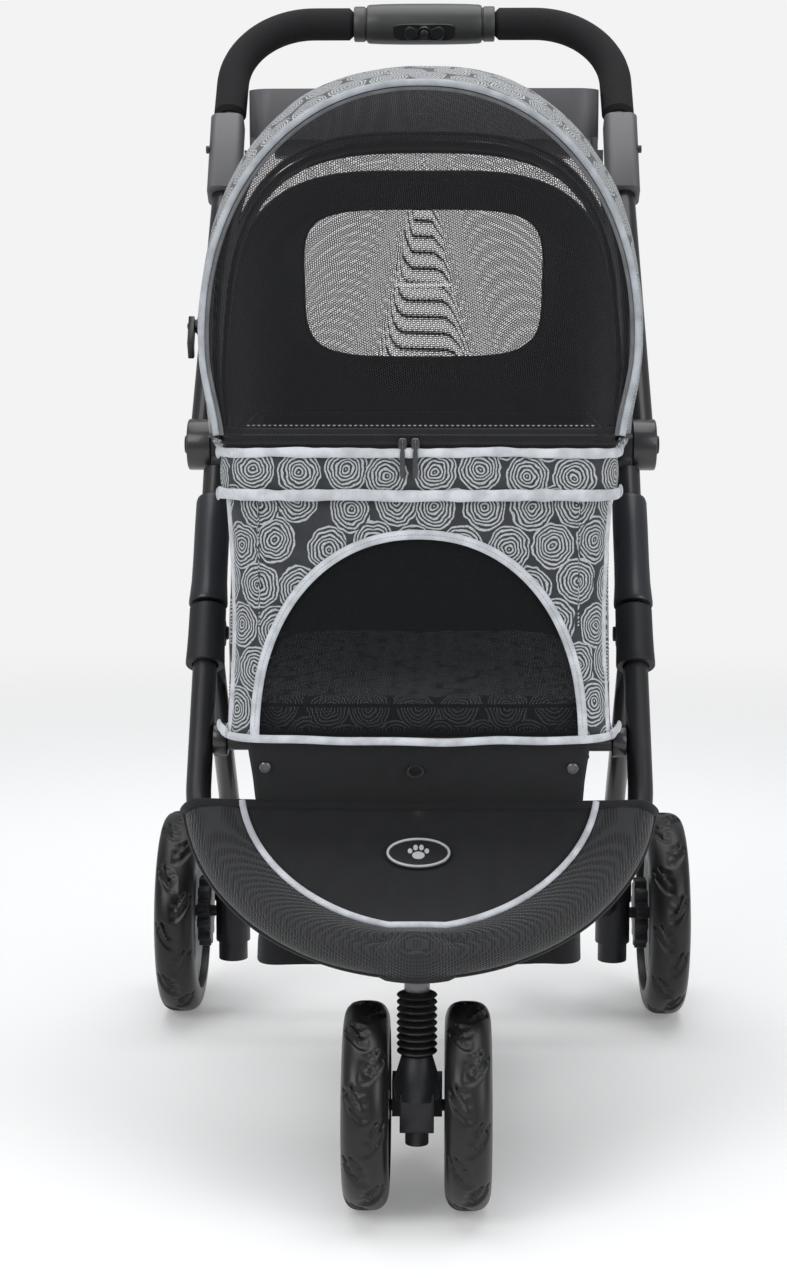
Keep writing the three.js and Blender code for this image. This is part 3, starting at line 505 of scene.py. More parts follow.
def knitted(name, color, light, pitch):
    """Thick spacer mesh: closely set dimples, with painted shade that makes them darker than the yarn around
    them.
    """
    shader = Shader(name, color, 0.85, fixed={"Sheen Weight": 0.35, "Sheen Roughness": 0.4})
    place = shader.place(cloth=True)
    cells = shader.node(
        "TexVoronoi", {"Vector": place, "Scale": 1 / pitch, "Randomness": 0.12}, voronoi_dimensions="2D"
    ).outputs["Distance"]
    dimple = shader.span(cells, 0.22, 0.42)
    # painted shade: the dimples take the first, darker colour and the yarn around them the lighter one
    shader.set("Base Color", shader.mix(dimple, color, light))
    shader.set("Normal", shader.bump(dimple, 0.0006))
    return shader.material


def spongy(name, color):
    """Closed-cell foam: fine pores over a slightly lumpy surface, with painted shade in the pores."""
    shader = Shader(name, color, 0.93, fixed={"Specular IOR Level": 0.3})
    place = shader.place(cloth=False)
    pores = shader.node("TexVoronoi", {"Vector": place, "Scale": 1400.0}).outputs["Distance"]
    lumps = shader.noise(place, 120.0, 3.0)
    # painted shade: the colour is darker in the pores than on the cell walls between them
    shader.set("Base Color", shader.mix(shader.span(pores, 0.1, 0.6), shade(color, 0.5), shade(color, 1.4)))
    shader.set("Normal", shader.bump(pores, 0.0002, 0.8, shader.bump(lumps, 0.0006, 0.6)))
    return shader.material


TUBE = moulded("frame_tube", (0.012, 0.012, 0.0135), 0.34, 500, 0.00003, fixed={"Coat Weight": 0.25})
PLASTIC = moulded("black_plastic", (0.012, 0.0125, 0.015), 0.44, fixed={"Specular IOR Level": 0.4})
SLEEVE = moulded("sleeve_plastic", (0.014, 0.0155, 0.021), 0.4, fixed={"Coat Weight": 0.15})
GREY = moulded("grey_plastic", (0.085, 0.085, 0.092), 0.5, 1300, 0.0001)
POD = moulded("pod_plastic", (0.045, 0.046, 0.045), 0.42, 1300, 0.00006)
# the pale rims get a weaker painted edge highlight
PALE = moulded("pale_plastic", (0.50, 0.515, 0.53), 0.38, 900, 0.00004, edge_highlight=1.15)
FOAM = spongy("foam", (0.012, 0.012, 0.013))
RUBBER = moulded("tyre", (0.0075, 0.0075, 0.0078), 0.38, 700, 0.0001, fixed={"Specular IOR Level": 0.42})
DARK_STEEL = moulded("dark_steel", (0.11, 0.11, 0.115), 0.35, 900, 0.00003, metallic=0.9)
BOARD = moulded("board", (0.05, 0.045, 0.04), 0.75, 300, 0.0001)
PRINT = woven("printed_fabric", (0.036, 0.039, 0.046), rings=True)
BLACK = woven("black_fabric", (0.0085, 0.009, 0.0105), sheen=0.12)
INNER = woven("fabric_inside", (0.13, 0.136, 0.145), sheen=0.3)
WELT = woven("piping", (0.60, 0.625, 0.66), pitch=0.0011, sheen=0.35, cloth=False)
EDGE = woven("edge_piping", (0.40, 0.425, 0.46), pitch=0.0011, sheen=0.3, cloth=False)
THREAD = woven("thread", (0.36, 0.37, 0.38), pitch=0.0006, cloth=False)
NET = netting("net", (0.022, 0.022, 0.024), 0.0022, 0.47)
DENSE_NET = netting("dense_net", (0.006, 0.007, 0.008), 0.0016, 0.74)
# the first colour is the painted shade in the dimples, the second the yarn
KNIT = knitted("spacer_mesh", (0.004, 0.004, 0.0045), (0.022, 0.023, 0.025), 0.0026)
ENAMEL = moulded("badge_enamel", (0.02, 0.02, 0.022), 0.25, fixed={"Coat Weight": 0.6})


# ---- hard pieces ----
SIDES = {"left": -1, "right": 1}


def plan_yz(x, centre, side=1):
    """Places an outline in the Y-Z plane at a given x, rising away from the middle of the stroller."""
    return lambda a, b, c: Vector((x + side * c, centre.y + a, centre.z + b))


def add_front_tubes():
    for name, side in SIDES.items():
        turn = tube_bend(side)
        path = spaced([on_line(side * TUBE_X, -0.0303), turn[0]], 0.03) + bezier(turn, 40)[1:]
        form = Form()
        form.tube(path, TUBE_R, sides=32)
        form.build("front_tube_smooth_" + name, [TUBE], "chassis", ["front_tube_" + name])


def add_rear_legs():
    down = Vector((0, REAR_AXLE.y - LEG_PIVOT.y, REAR_AXLE.z - LEG_PIVOT.z))
    run = down.length
    down.normalize()
    for name, side in SIDES.items():
        pivot = Vector((side * TUBE_X, LEG_PIVOT.y, LEG_PIVOT.z))
        form = Form()
        form.tube([pivot - down * 0.008, pivot + down * (run - 0.032)], 0.0105, sides=32)
        form.build("rear_leg_smooth_" + name, [TUBE], "rear_legs", ["rear_leg_" + name])


SLEEVE_PROFILE = [(0, 0.0125), (0, 0.0142), (0.0012, 0.0156), (0.005, 0.0166), (0.030, 0.0168),
                  (0.070, 0.0167),
                  (0.092, 0.0170), (0.104, 0.0178), (0.112, 0.0184), (0.1150, 0.01835), (0.116, 0.0178),
                  (0.116, 0.0126)]


def add_sleeves():
    for name, side in SIDES.items():
        form = Form()
        form.turned(SLEEVE_PROFILE, on_line(side * TUBE_X, -0.062), -UP, sides=48)
        body = "lock_sleeve_" + name
        form.build(body + "_smooth", [SLEEVE], body, [body])


def add_leg_brackets():
    """A round clamp on the front tube, and two ears that hold the rear leg's pivot pin."""
    for name, side in SIDES.items():
        form = Form()
        clamp = [(0, 0.0125), (0, 0.0160), (0.0015, 0.0172), (0.030, 0.0174), (0.046, 0.0178),
                 (0.0560, 0.0183),
                 (0.0592, 0.0182), (0.060, 0.0175), (0.060, 0.0125)]
        form.turned(clamp, on_line(side * TUBE_X, -0.181), -UP, sides=48)
        pivot = Vector((side * TUBE_X, LEG_PIVOT.y, LEG_PIVOT.z))
        top = on_line(0, -0.184) - Vector((0, LEG_PIVOT.y, LEG_PIVOT.z))
        low = on_line(0, -0.238) - Vector((0, LEG_PIVOT.y, LEG_PIVOT.z))
        away = math.atan2(AHEAD.z, AHEAD.y)
        outline = [(top.y, top.z), (low.y, low.z)]
        for i in range(13):
            angle = away + math.pi / 2 + math.pi * i / 12
            outline.append((0.013 * math.cos(angle), 0.013 * math.sin(angle)))
        for inner in (-0.0146, 0.0111):
            form.slab(outline, plan_yz(pivot.x + inner, pivot), 0.0035)
        for x, radius in ((-0.0175, 0.007), (0.0146, 0.0065)):
            cap = [(0, 0), (0, radius), (0.0022, radius), (0.003, radius - 0.001), (0.003, 0)]
            form.turned(cap, pivot + Vector((x, 0, 0)), Vector((1, 0, 0)), sides=28)
        form.build("leg_bracket_smooth_" + name, [PLASTIC], "chassis",
                   ["leg_bracket_" + name])


def disc(form, centre, start, end, radius, sides=56, mark=0):
    """A hinge disc across X with rounded edges, a shallow ring groove and a raised middle on its end face."""
    turn = 1 if end > start else -1
    depth = abs(end - start)
    profile = [(0, 0.0), (0, radius - 0.001), (0.001, radius), (depth - 0.002, radius),
               (depth - 0.0006, radius - 0.0007),
               (depth, radius - 0.0022), (depth, radius - 0.005), (depth - 0.0016, radius - 0.0056),
               (depth - 0.0016, radius - 0.0085), (depth, radius - 0.0092), (depth, 0.0)]
    form.turned(profile, centre + Vector((start, 0, 0)), Vector((turn, 0, 0)), sides, mark)


def add_fold_hinges():
    for name, side in SIDES.items():
        form = Form()
        disc(form, HINGE, side * 0.2046, side * 0.187, 0.025)
        neck = [(-0.013, 0.004), (0.013, 0.004), (0.013, -0.026), (0.009, -0.030), (-0.009, -0.030),
                (-0.013, -0.026)]

        def place(a, b, c):
            return on_line(side * (0.187 + c), b, -a)

        form.slab(neck, place, 0.0176, edge=0.0015)
        form.tube([HINGE + Vector((side * 0.19, 0, 0)), HINGE + Vector((side * 0.2295, 0, 0))], 0.005)
        head = [(0, 0.0), (0, 0.009), (0.0022, 0.009), (0.0032, 0.0078), (0.0032, 0.004), (0.0022, 0.0035),
                (0.0022, 0)]
        form.turned(head, HINGE + Vector((side * 0.2288, 0, 0)), Vector((side, 0, 0)), sides=32)
        form.build("fold_hinge_" + name, [PLASTIC], "chassis", ["hinge_housing_" + name])


def handle_path(side, start):
    """The handle's middle line, from a height on the arm round the corner to the middle of the bar."""
    top = HANDLE_TOP - HANDLE_BEND
    arm = []
    for i in range(15):
        up = lerp(start, top, i / 14)
        arm.append(on_line(side * lerp(HANDLE_X, HANDLE_TOP_X, up / top), up))
    for i in range(1, 21):
        turn = math.pi / 2 * i / 20
        x = HANDLE_TOP_X - HANDLE_BEND * (1 - math.cos(turn))
        arm.append(on_line(side * x, top + HANDLE_BEND * math.sin(turn)))
    return arm


def add_handle():
    for name, side in SIDES.items():
        form = Form()
        form.tube(handle_path(side, 0.0) + [on_line(side * 0.0003, HANDLE_TOP)], HANDLE_R, sides=32)
        disc(form, HINGE, side * 0.2051, side * 0.2285, 0.025)
        form.build("handle_tube_smooth_" + name, [TUBE], "handle", ["handle_tube_" + name])

        path = handle_path(side, GRIP_START)
        end = on_line(side * 0.0763, HANDLE_TOP)
        path = spaced(path + [end], 0.0045)
        total = 0.0045 * (len(path) - 1)

        def girth(share):
            near = min(share, 1 - share) * total
            return 0.017 if near > 0.004 else 0.0128 + 0.0042 * math.sqrt(1 - (1 - near / 0.004) ** 2)

        form = Form()
        form.tube(path, girth, sides=36)
        form.build("grip_" + name, [FOAM], "handle", ["foam_grip_" + name])


TRIGGER_OUT = -Vector(JOINTS["fold_trigger_press"]["axis"])
TRIGGER_UP = TRIGGER_OUT.cross(Vector((1, 0, 0)))


def on_pod(a, b, c):
    return on_line(0, HANDLE_TOP) + Vector((a, 0, 0)) + TRIGGER_UP * b + TRIGGER_OUT * c


def add_pod():
    form = Form()
    half = [(0, 0.0215), (0.020, 0.0215), (0.045, 0.0211), (0.0590, 0.0204), (0.0612, 0.0196),
            (0.062, 0.0182),
            (0.0626, 0.0172), (0.0634, 0.0170), (0.0640, 0.0183), (0.0655, 0.0186), (0.0745, 0.0186),
            (0.0756, 0.0180),
            (0.076, 0.0168), (0.076, 0.0115)]
    profile = [(-along, radius) for along, radius in reversed(half)] + half[1:]
    form.turned(profile, on_line(0, HANDLE_TOP), Vector((1, 0, 0)), sides=64)
    panel = ellipse(0.034, 0.0095, 48, power=5)
    form.slab(panel, lambda a, b, c: on_pod(a, b, 0.0165 + c), 0.0052, edge=0.0012, mark=1)
    form.build("pod_shell", [POD, PLASTIC], "handle", ["handle_pod"])


def add_trigger():
    """Three lobes in a row; the middle one surrounds the safety button."""
    lobes = (-0.0142, 0.0, 0.0142)

    def reach(turn):
        away = 0.0
        while away < 0.03:
            a = away * math.cos(turn)
            room = max(math.sqrt(max(0.0, 0.0076**2 - (a - lobe) ** 2)) for lobe in lobes)
            waist = 0.0038 if abs(a) < 0.0142 else 0.0
            if abs(away * math.sin(turn)) > max(room, waist) or (abs(a) > 0.0142 and room == 0):
                break
            away += 0.0001
        return away

    turns = [2 * math.pi * i / 96 for i in range(96)]
    outer = [(max(reach(t), 0.0072) * math.cos(t), max(reach(t), 0.0072) * math.sin(t)) for t in turns]
    inner = [(0.0058 * math.cos(t), 0.0058 * math.sin(t)) for t in turns]
    levels = [(outer, 0.0185), (outer, 0.0243), ([(a * 0.96, b * 0.92) for a, b in outer], 0.0252),
              ([(a * 1.08, b * 1.08) for a, b in inner], 0.0252), (inner, 0.0245), (inner, 0.0185),
              (outer, 0.0185)]
    form = Form()
    form.grid([[on_pod(a, b, height) for a, b in outline] for outline, height in levels], wrap=True)
    form.build("trigger_lobes", [PLASTIC], "fold_trigger", ["fold_trigger"])
    form = Form()
    dome = [(0.0175, 0.0), (0.0175, 0.005), (0.0262, 0.005), (0.0272, 0.0042), (0.0278, 0.0025), (0.028, 0.0)]
    form.turned(dome, on_line(0, HANDLE_TOP), TRIGGER_OUT, sides=32)
    form.build("safety_button_dome", [PLASTIC], "safety_button", ["safety_button"])


def groove(along, across, pitch, half):
    """How deep the tread is cut, 0 to 1: slanted loops and slashes that alternate from side to side."""
    cut = 0.0
    for row in (-1, 0, 1):
        for flip in (1, -1):
            u = (along % pitch) - pitch * (0.5 + row + 0.25 * flip)
            v = across - flip * 0.36 * half
            c, s = math.cos(0.45 * flip), math.sin(0.45 * flip)
            a, b = u * c + v * s, v * c - u * s
            loop = abs(math.hypot(a / 0.0155, b / 0.0060) - 1) * 0.0060
            if a < 0.009:
                cut = max(cut, 1 - smoothstep((loop - 0.0008) / 0.0013))
            u += pitch * 0.47
            v = across + flip * 0.42 * half
            a, b = u * c - v * s, v * c + u * s
            if abs(a) < 0.013:
                cut = max(cut, 1 - smoothstep((abs(abs(b) - 0.0028) - 0.0006) / 0.0012))
    return cut


def add_tyre(name, body, axle, radius, width, inner, pitches):
    rise = 0.024
    middle = radius - rise
    section = 80
    around = pitches * 32
    pitch = 2 * math.pi * radius / pitches
    rows = []
    for i in range(around):
        turn = 2 * math.pi * i / around
        out = Vector((0, math.sin(turn), math.cos(turn)))
        row = []
        for k in range(section):
            angle = 2 * math.pi * k / section - math.pi / 2
            c, s = math.cos(angle), math.sin(angle)
            power = 2 / 3.0
            x = width / 2 * math.copysign(abs(c) ** power, c)
            tall = rise if s > 0 else middle - inner
            r = middle + tall * math.copysign(abs(s) ** power, s)
            if s > 0.25:
                r -= 0.0024 * groove(turn * radius, x, pitch, width / 2) * smoothstep((s - 0.25) * 2.5)
            row.append(axle + Vector((x, 0, 0)) + out * r)
        rows.append(row)
    rows.append(rows[0])
    form = Form()
    form.grid(rows, wrap=True)
    form.build(name + "_tread", [RUBBER], body, [name], sharp=60)


def add_rim(name, body, axle, outer, half, boss, boss_from, boss_to, side):
    """A barrel, a dished disc with raised spokes, and a boss on the axle."""
    form = Form()
    out = Vector((side, 0, 0))
    lip = 0.0035
    barrel = [(-half, outer), (-half, outer - lip), (-half + 0.0015, outer - lip - 0.0012),
              (-0.005, outer - 0.0068),
              (-0.0022, outer - 0.0075), (-0.0022, boss + 0.006), (boss_from, boss), (boss_from, 0.0068),
              (boss_to, 0.0068), (boss_to, boss * 0.82), (boss_to - 0.002, boss), (0.0022, boss + 0.004),
              (0.0022, outer - 0.0075), (0.005, outer - 0.0068), (half - 0.0015, outer - lip - 0.0012),
              (half, outer - lip), (half, outer), (-half, outer)]
    form.turned(barrel, axle, out, sides=72)
    spokes = 6
    for i in range(spokes):
        turn = 2 * math.pi * i / spokes
        along = Vector((0, math.sin(turn), math.cos(turn)))
        across = Vector((0, math.cos(turn), -math.sin(turn)))
        near, far = boss * 0.9, outer - 0.007
        outline = []
        for k in range(9):
            share = k / 8
            outline.append((lerp(near, far, share), lerp(0.0080, 0.0052, math.sin(math.pi * share) ** 0.6)))
        outline += [(a, -b) for a, b in reversed(outline)]

        def place(a, b, c):
            return axle + along * a + across * b + out * c

        form.slab(outline, lambda a, b, c: place(a, b, 0.0018 + c), 0.0052, edge=0.0012)
        form.slab(outline, lambda a, b, c: place(a, b, -0.0018 - c), 0.0048, edge=0.0012)
    form.build(name + "_spoked", [PALE], body, [name])


def add_wheels():
    for name, side in SIDES.items():
        front = Vector((side * FRONT_AXLE.x, FRONT_AXLE.y, FRONT_AXLE.z))
        body = "front_wheel_" + name
        add_tyre("front_tyre_" + name, body, front, 0.0888, 0.040, 0.0652, 9)
        add_rim("front_rim_" + name, body, front, 0.0645, 0.012, 0.012, -0.0193, 0.014, side)
        rear = Vector((side * REAR_AXLE.x, REAR_AXLE.y, REAR_AXLE.z))
        body = "rear_wheel_" + name
        add_tyre("rear_tyre_" + name, body, rear, 0.1108, 0.044, 0.0842, 11)
        add_rim("rear_rim_" + name, body, rear, 0.0835, 0.014, 0.015, -0.012, 0.017, side)


def add_bellows():
    """Nine rubber folds round the caster's spring."""
    low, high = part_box("caster_bellows")
    folds = 9
    profile = [(0, 0.0085)]
    for i in range(folds * 8 + 1):
        share = i / (folds * 8)
        wave = 0.5 - 0.5 * math.cos(2 * math.pi * folds * share)
        profile.append(((high.z - low.z) * share, 0.0122 + 0.0050 * wave**0.8))
    profile.append((high.z - low.z, 0.0085))
    form = Form()
    form.turned(profile, Vector((SWIVEL.x, SWIVEL.y, low.z)), Vector((0, 0, 1)), sides=48)
    piece = form.build("bellows_folds", [RUBBER], "caster", ["caster_bellows"], sharp=70)
    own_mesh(piece)


def add_zip_sliders():
    """A slider body with its bridge, and a tapered pull tab that hangs from it."""
    for name in SIDES:
        low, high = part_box("zip_slider_" + name)
        x = (low.x + high.x) / 2
        front = low.y
        form = Form()
        slider = ellipse(0.0039, 0.0048, 32, power=3)
        form.slab(slider, lambda a, b, c: Vector((x + a, high.y - c, high.z - 0.005 + b)), 0.0030,
                  edge=0.0008)
        bridge = [Vector((x, high.y - 0.002, high.z - 0.0005)), Vector((x, front + 0.0002, high.z - 0.003)),
                  Vector((x, front + 0.0002, high.z - 0.008)), Vector((x, high.y - 0.002, high.z - 0.0095))]
        form.tube(bezier(bridge, 10), 0.0009, sides=10)
        tab = [(-0.0011, -0.007), (0.0011, -0.007), (0.0021, -0.013), (0.0024, -0.030), (0.0016, -0.0345),
               (-0.0016, -0.0345), (-0.0024, -0.030), (-0.0021, -0.013)]
        form.slab(tab, lambda a, b, c: Vector((x + a, front + 0.0022 - c, high.z + b)), 0.0016, edge=0.0005)
        form.build("zip_pull_" + name, [DARK_STEEL], "zip_slider_" + name,
                   ["zip_slider_" + name])


def dress(names, material, bevel=0.0008):
    """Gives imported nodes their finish, with smooth curved faces and softened edges."""
    for name in names:
        node = NODES[name]
        mesh = node.data
        mesh.materials.clear()
        mesh.materials.append(material)
        mesh.polygons.foreach_set("use_smooth", [True] * len(mesh.polygons))
        mesh.normals_split_custom_set([(0.0, 0.0, 0.0)] * len(mesh.loops))
        weld = node.modifiers.new("weld", "WELD")
        weld.merge_threshold = 0.00002
        edges = node.modifiers.new("edges", "BEVEL")
        edges.width = bevel
        edges.segments = 2
        edges.limit_method = "ANGLE"
        edges.angle_limit = math.radians(34)
        edges.harden_normals = True


def dress_frame():
    both = [["axle_housing_" + side, "brake_ring_" + side, "canopy_pivot_" + side] for side in SIDES]
    plastics = ["nose_bracket", "front_fork", "brake_pedal", "latch_base", "latch_hook"] + both[0] + both[1]
    dress(plastics, PLASTIC)
    dress(["canopy_bow_" + bow for bow in BOWS], PLASTIC, 0.0004)
    dress(["clamp_button_left", "clamp_button_right"], PLASTIC, 0.0005)
    dress(["front_cross_tube", "rear_cross_tube"], TUBE, 0.0008)
    dress(["caster_stem", "rear_axle"], DARK_STEEL, 0.0005)
    dress(["tray_clamp_left", "tray_clamp_right"], GREY, 0.003)
    dress(["parent_tray"], GREY, 0.0014)
    dress(["floor_board"], BOARD, 0.001)


# ---- canopy ----
def bow_point(bow, share, grow=0.0):
    """A bow's outline: its X and its height over the pivots; share runs from the right pivot to the left."""
    side = 1 if share < 0.5 else -1
    t = 1 - abs(2 * share - 1)
    if t < BOW_FOOT:
        rise = t / BOW_FOOT
        x = bow["base"] + grow + (bow["half"] - bow["base"]) * smoothstep(rise)
        return side * x, BOW_WAIST * bow["height"] * rise
    turn = (t - BOW_FOOT) / (1 - BOW_FOOT) * math.pi / 2
    power = 2 / bow["power"]
    x = (bow["half"] + grow) * max(math.cos(turn), 0) ** power
    top = (1 - BOW_WAIST) * bow["height"] + grow
    return side * x, BOW_WAIST * bow["height"] + top * math.sin(turn) ** power


def on_canopy(x, height, degrees):
    angle = math.radians(degrees)
    return Vector((x, CANOPY.y + height * math.sin(angle), CANOPY.z + height * math.cos(angle)))


FACE_FOOT = Vector((0, CABIN_LOW.y + 0.003, CABIN_HIGH.z + 0.007))


FACE_DIP = 0.0080


def face_point(share, grow):
    """The edge of the front opening, from the cabin's front corners up to the front bow's crown."""
    bow = BOWS["front"]
    x, height = bow_point(bow, share, grow)
    crown = on_canopy(0, bow["height"] + grow, bow["angle"])
    rise = height / (bow["height"] + grow)
    narrow = 0.945 - 0.055 * (1 - rise) ** 3
    top = crown.z - FACE_DIP
    return Vector((x * narrow, lerp(FACE_FOOT.y, crown.y - 0.004, rise), lerp(FACE_FOOT.z, top, rise)))


def face_path(grow, ahead):
    """The edge of the front opening from end to end, moved ahead of it."""
    steps = 180
    shares = [lerp(0.004, 0.996, i / steps) for i in range(steps + 1)]
    return [face_point(share, grow) + Vector((0, -ahead, 0)) for share in shares]


def front_roof(share, t):
    near = face_point(share, SKIN_CLEAR + 0.004)
    mid = BOWS["mid"]
    point = near.lerp(on_canopy(*bow_point(mid, share, SKIN_CLEAR), mid["angle"] - 0.4), t)
    bulge = math.sin(math.pi * t)
    wide = 1 + 0.042 * bulge
    high = 1 + 0.018 * bulge
    return Vector((point.x * wide, point.y, CANOPY.z + (point.z - CANOPY.z) * high))


def between(first, second, start, end):
    def surface(share, t):
        a = bow_point(first, share, SKIN_CLEAR)
        b = bow_point(second, share, SKIN_CLEAR)
        slack = 1 - 0.012 * math.sin(math.pi * t)
        return on_canopy(lerp(a[0], b[0], t) * slack, lerp(a[1], b[1], t) * slack, lerp(start, end, t))

    return surface


class Panel:
    """A sewn panel on a surface(share, t): point(s, t) is a place on it, cloth(s, t) that place in metres."""

    def __init__(self, surface, low, high, steps=200):
        self.surface = surface
        self.shares = [lerp(low, high, i / steps) for i in range(steps + 1)]
        self.runs = [0.0]
        for a, b in zip(self.shares, self.shares[1:]):
            self.runs.append(self.runs[-1] + (surface(b, 0.5) - surface(a, 0.5)).length)
        self.width = self.runs[-1]

    def point(self, s, t):
        want = min(max(s, 0), 1) * self.width
        low, high = 0, len(self.runs) - 1
        while high - low > 1:
            middle = (low + high) // 2
            if self.runs[middle] > want:
                high = middle
            else:
                low = middle
        part = (want - self.runs[low]) / (self.runs[high] - self.runs[low])
        return self.surface(lerp(self.shares[low], self.shares[high], part), t)

    def length(self, s):
        return sum((self.point(s, (i + 1) / 4) - self.point(s, i / 4)).length for i in range(4))

    def cloth(self, s, t):
        return (s * self.width, t * self.length(s))

    def rows(self, form, places, mark=0):
        points = [[self.point(s, t) for s, t in row] for row in places]
        cloth = [[self.cloth(s, t) for s, t in row] for row in places]
        form.grid(points, mark, cloth=cloth)

    def fill(self, form, columns, rows, mark=0):
        self.rows(form, [[(i / columns, j / rows) for i in range(columns + 1)] for j in range(rows + 1)],
                  mark)

    def locate(self, x, z):
        """Where the panel passes a given X and Z; X falls along s and Z falls along t."""
        s = t = 0.5
        for _ in range(4):
            low, high = 0.0, 1.0
            for _ in range(16):
                s = (low + high) / 2
                low, high = (s, high) if self.point(s, t).x > x else (low, s)
            low, high = 0.0, 1.0
            for _ in range(16):
                t = (low + high) / 2
                low, high = (t, high) if self.point(s, t).z > z else (low, t)
        return s, t

    def framed(self, form, opening, low, high, columns, sides, rings, mark=0):
        """The panel from t = low to high, round an opening: opening(turn) gives the opening's outline."""
        edge = [(i / columns, low) for i in range(columns)]
        edge += [(1, lerp(low, high, i / sides)) for i in range(sides)]
        edge += [(1 - i / columns, high) for i in range(columns)]
        edge += [(0, lerp(high, low, i / sides)) for i in range(sides + 1)]
        centre = opening(None)
        tall = (high - low) / 0.6
        inner = [opening(math.atan2((t - centre[1]) / tall, s - centre[0])) for s, t in edge]
        places = []
        for j in range(rings + 1):
            share = j / rings
            places.append([(lerp(a[0], b[0], share), lerp(a[1], b[1], share)) for a, b in zip(inner, edge)])
        self.rows(form, places, mark)

    def patch(self, form, opening, count, rings, grow=1.06, mark=0):
        """The cloth that fills an opening, and laps under its edge a little."""
        centre = opening(None)
        outline = [opening(2 * math.pi * i / count) for i in range(count + 1)]
        places = []
        for j in range(rings + 1):
            share = grow * (0.02 + 0.98 * j / rings)
            places.append([(lerp(centre[0], s, share), lerp(centre[1], t, share)) for s, t in outline])
        self.rows(form, places, mark)

    def outline(self, opening, count, grow=1.0):
        centre = opening(None)
        path = []
        for i in range(count + 1):
            s, t = opening(2 * math.pi * i / count)
            path.append(self.point(lerp(centre[0], s, grow), lerp(centre[1], t, grow)))
        return path


def superellipse(turn, half_a, half_b, power):
    c, s = math.cos(turn), math.sin(turn)
    reach = 1 / (abs(c) ** power + abs(s) ** power) ** (1 / power)
    return half_a * c * reach, half_b * s * reach


REAR_GAP = 0.08  # a distance from a bow's plane, given to bend as its start


def bend(piece, fixed, moving, bow, behind, start, end=0.0):
    """Bakes the panel's placement into its mesh; fixed, moving, bow, behind, start and end are not used."""
    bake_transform(piece)


def own_area(piece):
    """The area of a sheet as it is built, from its own faces."""
    return sum(face.area for face in piece.data.polygons)


def declare(piece, panel, share=1.0):
    """Works out a sheet's area from its own faces, held between 0.301 and 1 times the panel's width by its
    longest length; the result is not stored.
    """
    length = max(panel.length(s) for s in (0.1, 0.3, 0.5, 0.7, 0.9)) * share
    area = own_area(piece)
    area = min(area, panel.width * length)
    area = max(area, 0.301 * panel.width * length)


SHARE_LOW, SHARE_HIGH = 0.003, 0.997
FLAP_AT = 0.155  # where the rear panel's top strip is sewn to its lower part


def roof_window(turn):
    """The half-moon in the roof's rear panel: an arch forward, a nearly straight edge behind."""
    if turn is None:
        return 0.5, 0.66
    forward = math.sin(turn) < 0
    a, b = superellipse(turn, 0.255, 0.42 if forward else 0.26, 2.1 if forward else 4.0)
    return 0.5 + a, 0.66 + b


def vent(turn):
    """The narrow window just behind the rear bow."""
    if turn is None:
        return 0.5, 0.075
    a, b = superellipse(turn, 0.215, 0.042, 2.6)
    return 0.5 + a, 0.075 + b


